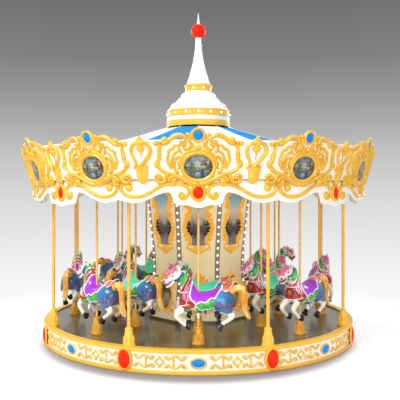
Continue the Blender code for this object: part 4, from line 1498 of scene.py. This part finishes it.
def merge(bm, other):
    """Adds another bmesh's faces to this one."""
    mesh = bpy.data.meshes.new("part")
    other.to_mesh(mesh)
    other.free()
    bm.from_mesh(mesh)
    bpy.data.meshes.remove(mesh)


def horse_cloths(bm, skin):
    """Rump blanket, the cloth under the saddle, and the saddle."""
    blanket = over_back(skin, [-0.300, -0.285, -0.262, -0.238, -0.244],
        [-0.500, -0.505, -0.510, -0.514, -0.516], [0.895, 0.850, 0.862, 0.848, 0.830, 0.850, 0.842])
    cloth(bm, blanket, 0.020, SLOT["blanket"], SLOT["blanket"], 0.006)
    rear = []
    for i in range(9):
        turn = 84 * (1.0 - 0.12 * i / 8)
        angles = [math.radians(180 + turn * (j / 8 - 1)) for j in range(17)]
        rear.append([skin.from_post(1.110 - 0.245 * i / 8, angle, -0.400) for angle in angles])
    cloth(bm, rear, 0.017, SLOT["blanket"], SLOT["blanket"], 0.006)
    under = over_back(skin, [0.030, 0.030, 0.030, 0.030, 0.036], [-0.244, -0.246, -0.248, -0.250, -0.250],
        [0.935, 0.874, 0.888, 0.893, 0.914])
    cloth(bm, under, 0.016, SLOT["under_cloth"], SLOT["white_piping"], 0.006)
    saddle = over_back(skin, [0.080, 0.110, 0.125, 0.106, 0.038], [-0.346, -0.335, -0.308, -0.278, -0.247],
        [0.959, 0.995, 0.985, 1.030, 1.038], 16, 28)
    cloth(bm, saddle, 0.030, SLOT["saddle_cloth"], SLOT["white_piping"], 0.010, 0.018)
    drops = ((-30, 880, 800), (-66, 885, 840), (-102, 892, 792), (-150, 900, 840), (-196, 908, 850))
    for side in (1, -1):
        fringe = Relief(side_wrap(skin, side))
        for k, (forward, top, foot) in enumerate(drops):
            colour = SLOT["under_cloth" if k % 2 else "fringe_purple"]
            fringe.stroke([(forward, top), (forward - 4, foot)], 23, 24, LEAF, colour, 0, step=30)
        fringe.stroke([(30, 930), (12, 870), (4, 820)], 18, 26, LEAF, SLOT["under_cloth"], 0, step=30)
        merge(bm, fringe.bm)
        iron = [(4, side * 150, 825, 16, 12), (0, side * 152, 775, 22, 16), (0, side * 152, 752, 18, 14)]
        tube(bm, iron, 10, SLOT["horse_white"], steps=2)


def side_wrap(skin, side):
    """Wraps a side-view drawing of (forward, height) onto the near or far side of the horse."""

    def wrap(forward, height, out):
        return (forward, side * (skin.from_side(forward, height, side) + out), height)

    return wrap


def saddle_seat(bm):
    """The cantle pad behind the seat, with its white rims."""
    pad = [(-342, 0, 1150, 40, 86), (-372, 0, 1150, 66, 100), (-425, 0, 1158, 72, 102),
        (-470, 0, 1184, 58, 84), (-502, 0, 1222, 34, 54), (-522, 0, 1246, 10, 20)]
    cushion = bmesh.new()
    tube(cushion, pad, 18, SLOT["cantle"], steps=3)
    for vertex in cushion.verts:
        vertex.co.z = max(vertex.co.z, 1.140 + max(0.0, -0.43 - vertex.co.x) * 0.7)
    merge(bm, cushion)
    rim, front, rear = [], [], []
    for i in range(24):
        angle = math.tau * i / 24
        lean = math.cos(angle)
        rise = max(0.0, 0.070 * lean - 0.018) * 0.7
        rim.append(Vector((-0.412 - 0.070 * lean, 0.103 * math.sin(angle), 1.142 + rise)))
    cord_round(bm, rim, 0.010, SLOT["white_piping"])
    for i in range(13):
        across = -1 + i / 6
        height = math.sqrt(max(0.0, 1 - across * across))
        front.append(Vector((-0.344 - 0.014 * height, 0.104 * across, 1.150 + 0.072 * height)))
        rear.append(Vector((-0.466 - 0.066 * height, 0.084 * across, 1.180 + 0.086 * height)))
    cord_round(bm, front, 0.010, SLOT["white_piping"], closed=False)
    cord_round(bm, rear, 0.007, SLOT["white_piping"], closed=False)


# (half width, depth, path) of the plume's curls beside the forehead
FOREHEAD_CURLS = (
    (13, 14, [(345, 1448), (372, 1418), (380, 1395), (366, 1392)]),
    (12, 14, [(392, 1415), (420, 1385), (428, 1360), (414, 1356)]),
    (12, 14, [(432, 1375), (462, 1340), (476, 1315), (488, 1300)]),
    (10, 12, [(316, 1446), (330, 1420), (322, 1402)]),
)
# (root, tip, distance from the middle) of the plume's points
PLUME = (((350, 1425), (392, 1452), 0), ((360, 1425), (372, 1462), 22), ((425, 1370), (488, 1452), 0),
    ((415, 1380), (448, 1440), 26), ((455, 1345), (512, 1400), 0), ((440, 1355), (480, 1395), 24))


def horse_head_detail(bm, skin):
    """Jaw, eyes, nostrils, bridle strap, ears and the plume on the forehead."""
    jaw = [(360, 0, 1276, 24, 28), (400, 0, 1240, 24, 36), (438, 0, 1206, 18, 36), (470, 0, 1192, 14, 32),
        (488, 0, 1194, 9, 22)]
    tube(bm, jaw, 14, SLOT["horse_white"], steps=3)
    tube(bm, [(400, 0, 1252, 22, 34), (445, 0, 1232, 22, 34), (490, 0, 1228, 12, 30)], 12, SLOT["mouth_red"])
    crest = [(318, 0, 1448, 18, 34), (365, 0, 1424, 24, 46), (420, 0, 1382, 26, 46), (465, 0, 1338, 24, 36),
        (500, 0, 1300, 10, 18)]
    tube(bm, crest, 14, SLOT["mane_pink"], 0.16, 5, 1.2)
    for (root, low), (tip, top), across in PLUME:
        for side in (1, -1) if across else (1,):
            spike = [(root, side * across * 0.6, low, 20, 20)]
            spike += [((root + tip) / 2 - 6, side * across, (low + top) / 2 + 2, 17, 16)]
            spike += [(tip, side * across * 1.2, top, 4, 4)]
            tube(bm, spike, 8, SLOT["mane_pink"], steps=3)
    for side in (1, -1):
        ear = [(282, side * 34, 1418, 28, 18), (290, side * 42, 1448, 27, 17), (297, side * 49, 1480, 17, 12),
            (301, side * 53, 1505, 3, 3)]
        tube(bm, ear, 12, SLOT["horse_white"], steps=3)
        inner = [(303, side * 42, 1432, 8, 10), (307, side * 48, 1455, 11, 10), (305, side * 53, 1484, 3, 3)]
        tube(bm, inner, 8, SLOT["ear_pink"], steps=3)
        r = Relief(side_wrap(skin, side))
        r.dome((386, 1352), (13, 12), 6, SLOT["eye"], 3, 12)
        r.stroke([(406, 1362), (386, 1373), (362, 1368), (348, 1356)], 5, 6, ROUND, SLOT["eye"],
            widths=[0.5, 1.0, 0.9, 0.5])
        r.dome((518, 1270), (19, 24), 8, SLOT["mouth_red"], 3, 12)
        r.loop((518, 1270), (22, 28), 5, 10, ROUND, SLOT["horse_white"], 14)
        strap = [(425, 1258), (405, 1252), (372, 1268), (332, 1290), (296, 1318), (270, 1346), (246, 1390),
            (232, 1430)]
        r.stroke(strap, 14, 16, FLAT, SLOT["strap_blue"], step=20)
        r.dome((418, 1258), (17, 17), 18, SLOT["strap_blue"], 3, 10)
        for width, depth, curl in FOREHEAD_CURLS:
            r.stroke(curl, width, depth, LEAF, SLOT["mane_pink"], step=20)
        merge(bm, r.bm)


# (colour, path, half width) of the carved locks on each side, from the crest to the shoulder
LOCKS = (
    ("mane_green", [(180, 1425), (186, 1365), (212, 1300), (244, 1245), (262, 1205)], 32),
    ("mane_green", [(214, 1425), (226, 1375), (252, 1318), (276, 1268)], 18),
    ("mane_red", [(142, 1372), (160, 1310), (192, 1240), (222, 1185), (250, 1130)], 25),
    ("mane_red", [(104, 1318), (124, 1275), (152, 1232), (176, 1200)], 18),
    ("mane_pink", [(92, 1270), (118, 1222), (152, 1172), (180, 1120)], 26),
    ("mane_pink", [(210, 1160), (214, 1100), (204, 1040), (196, 990)], 22),
    ("mane_pink", [(140, 1160), (150, 1100), (150, 1040), (144, 985)], 30),
    ("chest_red", [(246, 1120), (248, 1060), (236, 1000)], 22),
    ("chest_red", [(178, 1130), (180, 1060), (172, 995)], 12),
    ("cantle", [(124, 1120), (128, 1070), (122, 1015)], 16),
)
LOCK_LINES = (
    [(162, 1400), (168, 1345), (196, 1275), (226, 1220), (246, 1172)],
    [(122, 1345), (140, 1285), (170, 1220), (200, 1165), (224, 1110)],
    [(86, 1262), (108, 1206), (134, 1165)],
    [(186, 1160), (196, 1100), (190, 1040)],
    [(228, 1140), (232, 1075), (220, 1010)],
    [(160, 1150), (166, 1090), (160, 1020)],
)


def horse_mane(bm, skin):
    """Carved locks from the crest to the shoulder, with white lines between them."""
    for colour, ridge in (
        ("mane_green", [(236, 1436), (205, 1432), (172, 1402), (150, 1372)]),
        ("mane_red", [(156, 1384), (134, 1350), (114, 1318), (100, 1292)]),
        ("mane_pink", [(106, 1304), (94, 1276), (86, 1252), (84, 1232)]),
    ):
        stations = [(u, 0, z, w * 0.7, w) for (u, z), w in zip(ridge, (10, 22, 22, 12))]
        tube(bm, stations, 10, SLOT[colour], 0.12, 4, 1.0, 3)
    for side in (1, -1):
        r = Relief(side_wrap(skin, side))
        for colour, path, width in LOCKS:
            r.stroke(path, width, 20, LEAF, SLOT[colour], widths=[0.6, 1.0, 1.1, 1.0, 0.5], step=22)
        for path in LOCK_LINES:
            r.stroke(path, 6, 24, ROUND, SLOT["white_piping"], widths=[0.5, 1.0, 1.0, 0.5], step=24)
        merge(bm, r.bm)


def chest_armour(bm, skin):
    """The crimson breastplate with its white cords, gold boss and green drop."""
    grid = []
    for i in range(9):
        t = i / 8
        spread = math.radians(66 - 10 * t)
        height = 1.112 - 0.190 * t
        shares = [j / 6 - 1 for j in range(13)]
        grid.append([skin.from_post(height + 0.020 * abs(share) ** 2, spread * share) for share in shares])
    cloth(bm, grid, 0.014, SLOT["chest_red"], SLOT["white_piping"], 0.007)
    place, _ = skin.from_post(1.02, 0.0)
    boss = bmesh.new()
    bmesh.ops.create_uvsphere(boss, u_segments=16, v_segments=8, radius=1.0)
    for vertex in boss.verts:
        x, y, z = vertex.co
        vertex.co = (place.x + 0.012 + x * 0.014, y * 0.034, place.z + z * 0.046)
    for face in boss.faces:
        face.material_index = SLOT["old_gold"]
    merge(bm, boss)
    for side in (1, -1):
        r = Relief(side_wrap(skin, side))
        r.stroke([(262, 965), (205, 944), (140, 940), (50, 950)], 47, 16, RIDGED, SLOT["chest_red"], step=22)
        r.stroke([(246, 918), (200, 898), (140, 892), (52, 922)], 9, 24, ROUND, SLOT["chest_red"], step=22)
        r.stroke([(215, 990), (150, 987), (86, 996)], 8, 24, ROUND, SLOT["mane_red"], step=22)
        r.dome((148, 945), (40, 27), 26, SLOT["old_gold"], 3, 14)
        r.stroke([(214, 888), (184, 855), (150, 842), (112, 874)], 26, 20, LEAF, SLOT["under_cloth"],
            widths=[0.6, 1.1, 1.2, 0.9])
        merge(bm, r.bm)


def horse_tail(bm, swing):
    stations = [(-462, 0, 1095, 48, 46), (-497, swing * 0.17, 1134, 58, 54),
        (-560, swing * 0.49, 1176, 58, 54), (-636, swing * 0.85, 1166, 56, 55), (-686, swing, 1098, 49, 52),
        (-690, swing, 1000, 43, 48), (-690, swing, 920, 41, 44), (-702, swing, 850, 40, 42),
        (-738, swing, 772, 38, 38), (-762, swing, 732, 26, 26), (-776, swing, 712, 6, 6)]
    tube(bm, stations, 20, SLOT["tail_gold"], 0.13, 5, 2.0, 3)


def crupper(bm):
    """The dark strap from the cantle to the root of the tail."""
    stations = [(-395, 0, 1150, 18, 20), (-450, 0, 1186, 18, 20), (-510, 0, 1222, 18, 20)]
    tube(bm, stations + [(-560, 0, 1236, 18, 22), (-590, 0, 1230, 8, 10)], 10, SLOT["hoof"])


def horse_hooves(bm):
    for start, end, narrow, wide in HOOVES:
        stations = []
        bands = ((0.0, narrow * 0.9), (0.12, narrow * 1.12), (0.25, narrow * 1.05), (0.9, wide),
            (1.0, wide * 0.94))
        for share, radius in bands:
            stations.append((*Vector(start).lerp(Vector(end), share), radius, radius * 0.92))
        for mirrored in (stations, other_side(stations)):
            tube(bm, mirrored, 14, SLOT["hoof"], steps=2)


def dressed_horse():
    """One horse with all it wears but its tail. The two rows share it, but for the colour of the saddle."""
    body = bare_horse()
    skin = Skin(body)
    bm = bmesh.new()
    bm.from_mesh(body)
    bpy.data.meshes.remove(body)
    for face in bm.faces:
        forward, _, height = face.calc_center_median()
        feathered = 0.06 < forward and 0.92 < height < 1.19 + 0.6 * (0.20 - forward)
        face.material_index = SLOT["mane_pink" if feathered else "horse_white"]
    extras = bmesh.new()
    horse_cloths(extras, skin)
    saddle_seat(extras)
    horse_head_detail(extras, skin)
    horse_mane(extras, skin)
    chest_armour(extras, skin)
    crupper(extras)
    horse_hooves(extras)
    bmesh.ops.recalc_face_normals(extras, faces=extras.faces)
    merge(bm, extras)
    return bm


def make_horses():
    bm = dressed_horse()
    meshes = {}
    for row in ("outer", "inner"):
        slots = [f"saddle_{row}" if name == "saddle_cloth" else name for name in HORSE_SLOTS]
        tail = bmesh.new()
        horse_tail(tail, TAIL_SWING[row])
        bmesh.ops.recalc_face_normals(tail, faces=tail.faces)
        horse = bm.copy()
        merge(horse, tail)
        meshes[row] = build(horse, f"dressed_horse_{row}", slots, 42)
    bm.free()
    # The rod is turned down a little where it slides through the ceiling
    end, neck, shoulder = 0.0165, 0.0177, 2.665
    profile = [(end, POLE_BOTTOM), (POLE_RADIUS, POLE_BOTTOM + 0.002), (POLE_RADIUS, shoulder)]
    profile += [(neck, shoulder + 0.003), (neck, POLE_TOP - 0.002), (end, POLE_TOP)]
    rod = bmesh.new()
    lathe(rod, profile, 20)
    pole = build(rod, "brass_pole", ("brass",), 30)
    for row, number, azimuth, radius in horse_spots():
        node = f"{row}_{number}"
        pieces = (("painted_horse", meshes[row], "horse_white", "horse"),
            ("brass_pole", pole, "brass", "pole"))
        for name, mesh, slot, solid in pieces:
            spot = at_azimuth(radius, azimuth)
            body = f"carousel_horse_{node}"
            put(mesh, f"{name}_{node}", slot, azimuth + math.pi, spot, (f"{solid}_{node}",), body)


def make_metalwork():
    """Finishes of the solids that show as they are."""
    shown = {"base_plate": "steel", "bearing_hub": "steel", "mast": "steel", "ceiling": "cream"}
    for node, finish in shown.items():
        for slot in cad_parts[node].material_slots:
            slot.material = MATERIALS[finish]


# Stage, light and camera

AMBIENT = 0.68
SHADOW_SHIFT = 0.33
# Backdrop greys by the height that the camera's line of sight gains in one unit
SKY_REACH = 0.35
SKY = [(-0.23, 255), (-0.14, 246), (-0.077, 233), (-0.011, 218), (0.054, 198), (0.102, 176), (0.15, 154)]
SKY += [(0.212, 130), (0.30, 112)]


def make_stage():
    """A pale floor with the soft shadow round the platform's front."""
    bm = bmesh.new()
    bmesh.ops.create_circle(bm, cap_ends=True, radius=14.0, segments=64)
    mesh = bpy.data.meshes.new("floor")
    bm.to_mesh(mesh)
    bm.free()
    s = Shader("pale_floor")
    distance = s.add("ShaderNodeVectorMath", {0: s.place}, "Value", operation="LENGTH")
    fade = s.run(distance, 3.2, 6.4, interpolation_type="SMOOTHSTEP")
    spots = {0: s.place, 1: (1.03, 1.0, 1.0), 2: (0.03, SHADOW_SHIFT, 0.0)}
    moved = s.add("ShaderNodeVectorMath", spots, operation="MULTIPLY_ADD")
    reach = s.add("ShaderNodeVectorMath", {0: moved}, "Value", operation="LENGTH")
    greys = [(0.25, 0.23), (0.40, 0.27), (0.56, 0.36), (0.71, 0.58), (0.94, 0.88)]
    stops = [(place, (grey * 0.97, grey * 0.985, grey * 1.03, 1)) for place, grey in greys]
    tone = s.ramp(s.run(reach, 2.4, 3.0), stops)
    s.dull(0.1)
    s.glow(tone, 0.3)
    s.finish(tone, 0.8)
    clear = s.add("ShaderNodeBsdfTransparent", {})
    blend = s.add("ShaderNodeMixShader", {0: fade, 1: s.surface.outputs[0], 2: clear})
    s.links.new(blend, s.nodes["Material Output"].inputs["Surface"])
    mesh.materials.append(s.material)
    floor = link("floor", mesh)


def make_world():
    """A studio backdrop that darkens upwards for the camera, and an even light for everything else."""
    world = bpy.data.worlds.new("studio")
    bpy.context.scene.world = world
    world.use_nodes = True
    nodes, links = world.node_tree.nodes, world.node_tree.links
    background = nodes["Background"]
    split = nodes.new("ShaderNodeSeparateXYZ")
    links.new(nodes.new("ShaderNodeTexCoord").outputs["Generated"], split.inputs[0])
    ramp = nodes.new("ShaderNodeValToRGB")
    stretch = nodes.new("ShaderNodeMapRange")
    stretch.inputs[1].default_value = -SKY_REACH
    stretch.inputs[2].default_value = SKY_REACH
    links.new(split.outputs["Z"], stretch.inputs[0])
    links.new(stretch.outputs[0], ramp.inputs[0])
    elements = ramp.color_ramp.elements
    while len(elements) < len(SKY):
        elements.new(0.5)
    for element, (height, value) in zip(elements, SKY):
        element.position = (height + SKY_REACH) / (2 * SKY_REACH)
        element.color = srgb(value, value, value)
    lit = nodes.new("ShaderNodeBackground")
    lit.inputs["Color"].default_value = (0.995, 0.995, 1.0, 1.0)
    lit.inputs["Strength"].default_value = AMBIENT
    choose = nodes.new("ShaderNodeMixShader")
    links.new(ramp.outputs[0], background.inputs["Color"])
    links.new(nodes.new("ShaderNodeLightPath").outputs["Is Camera Ray"], choose.inputs[0])
    links.new(lit.outputs[0], choose.inputs[1])
    links.new(background.outputs[0], choose.inputs[2])
    links.new(choose.outputs[0], nodes["World Output"].inputs["Surface"])


def make_lights():
    for name, location, target, size, power in (
        ("key", (-6.0, -9.0, 10.0), 1.8, 5.0, 840),
        ("front", (1.0, -12.5, 3.0), 1.6, 6.0, 345),
        ("back_left", (-8.0, 8.0, 7.0), 2.0, 5.0, 350),
        ("back_right", (8.0, 8.0, 7.0), 2.0, 5.0, 350),
    ):
        light = bpy.data.lights.new(name, "AREA")
        light.shape = "DISK"
        light.size = size
        light.energy = power
        thing = link(name, light)
        thing.location = location
        aim = Vector((0, 0, target)) - Vector(location)
        thing.rotation_euler = aim.to_track_quat("-Z", "Y").to_euler()


def make_camera():
    camera = bpy.data.cameras.new("camera")
    camera.lens = 55.08
    camera.sensor_width = 36.0
    camera.shift_x = 0.004
    camera.shift_y = -0.0175
    thing = link("camera", camera)
    thing.location = (0.0, -11.5, 2.6)
    thing.rotation_euler = (math.pi / 2, 0.0, 0.0)
    bpy.context.scene.camera = thing


def main():
    bpy.context.scene.view_settings.view_transform = "Standard"
    make_camera()
    make_world()
    make_lights()
    make_stage()
    make_materials()
    make_cornice()
    make_valance()
    make_platform()
    make_posts()
    make_sockets()
    make_roof()
    make_cupola()
    make_drum()
    make_horses()
    make_metalwork()


main()
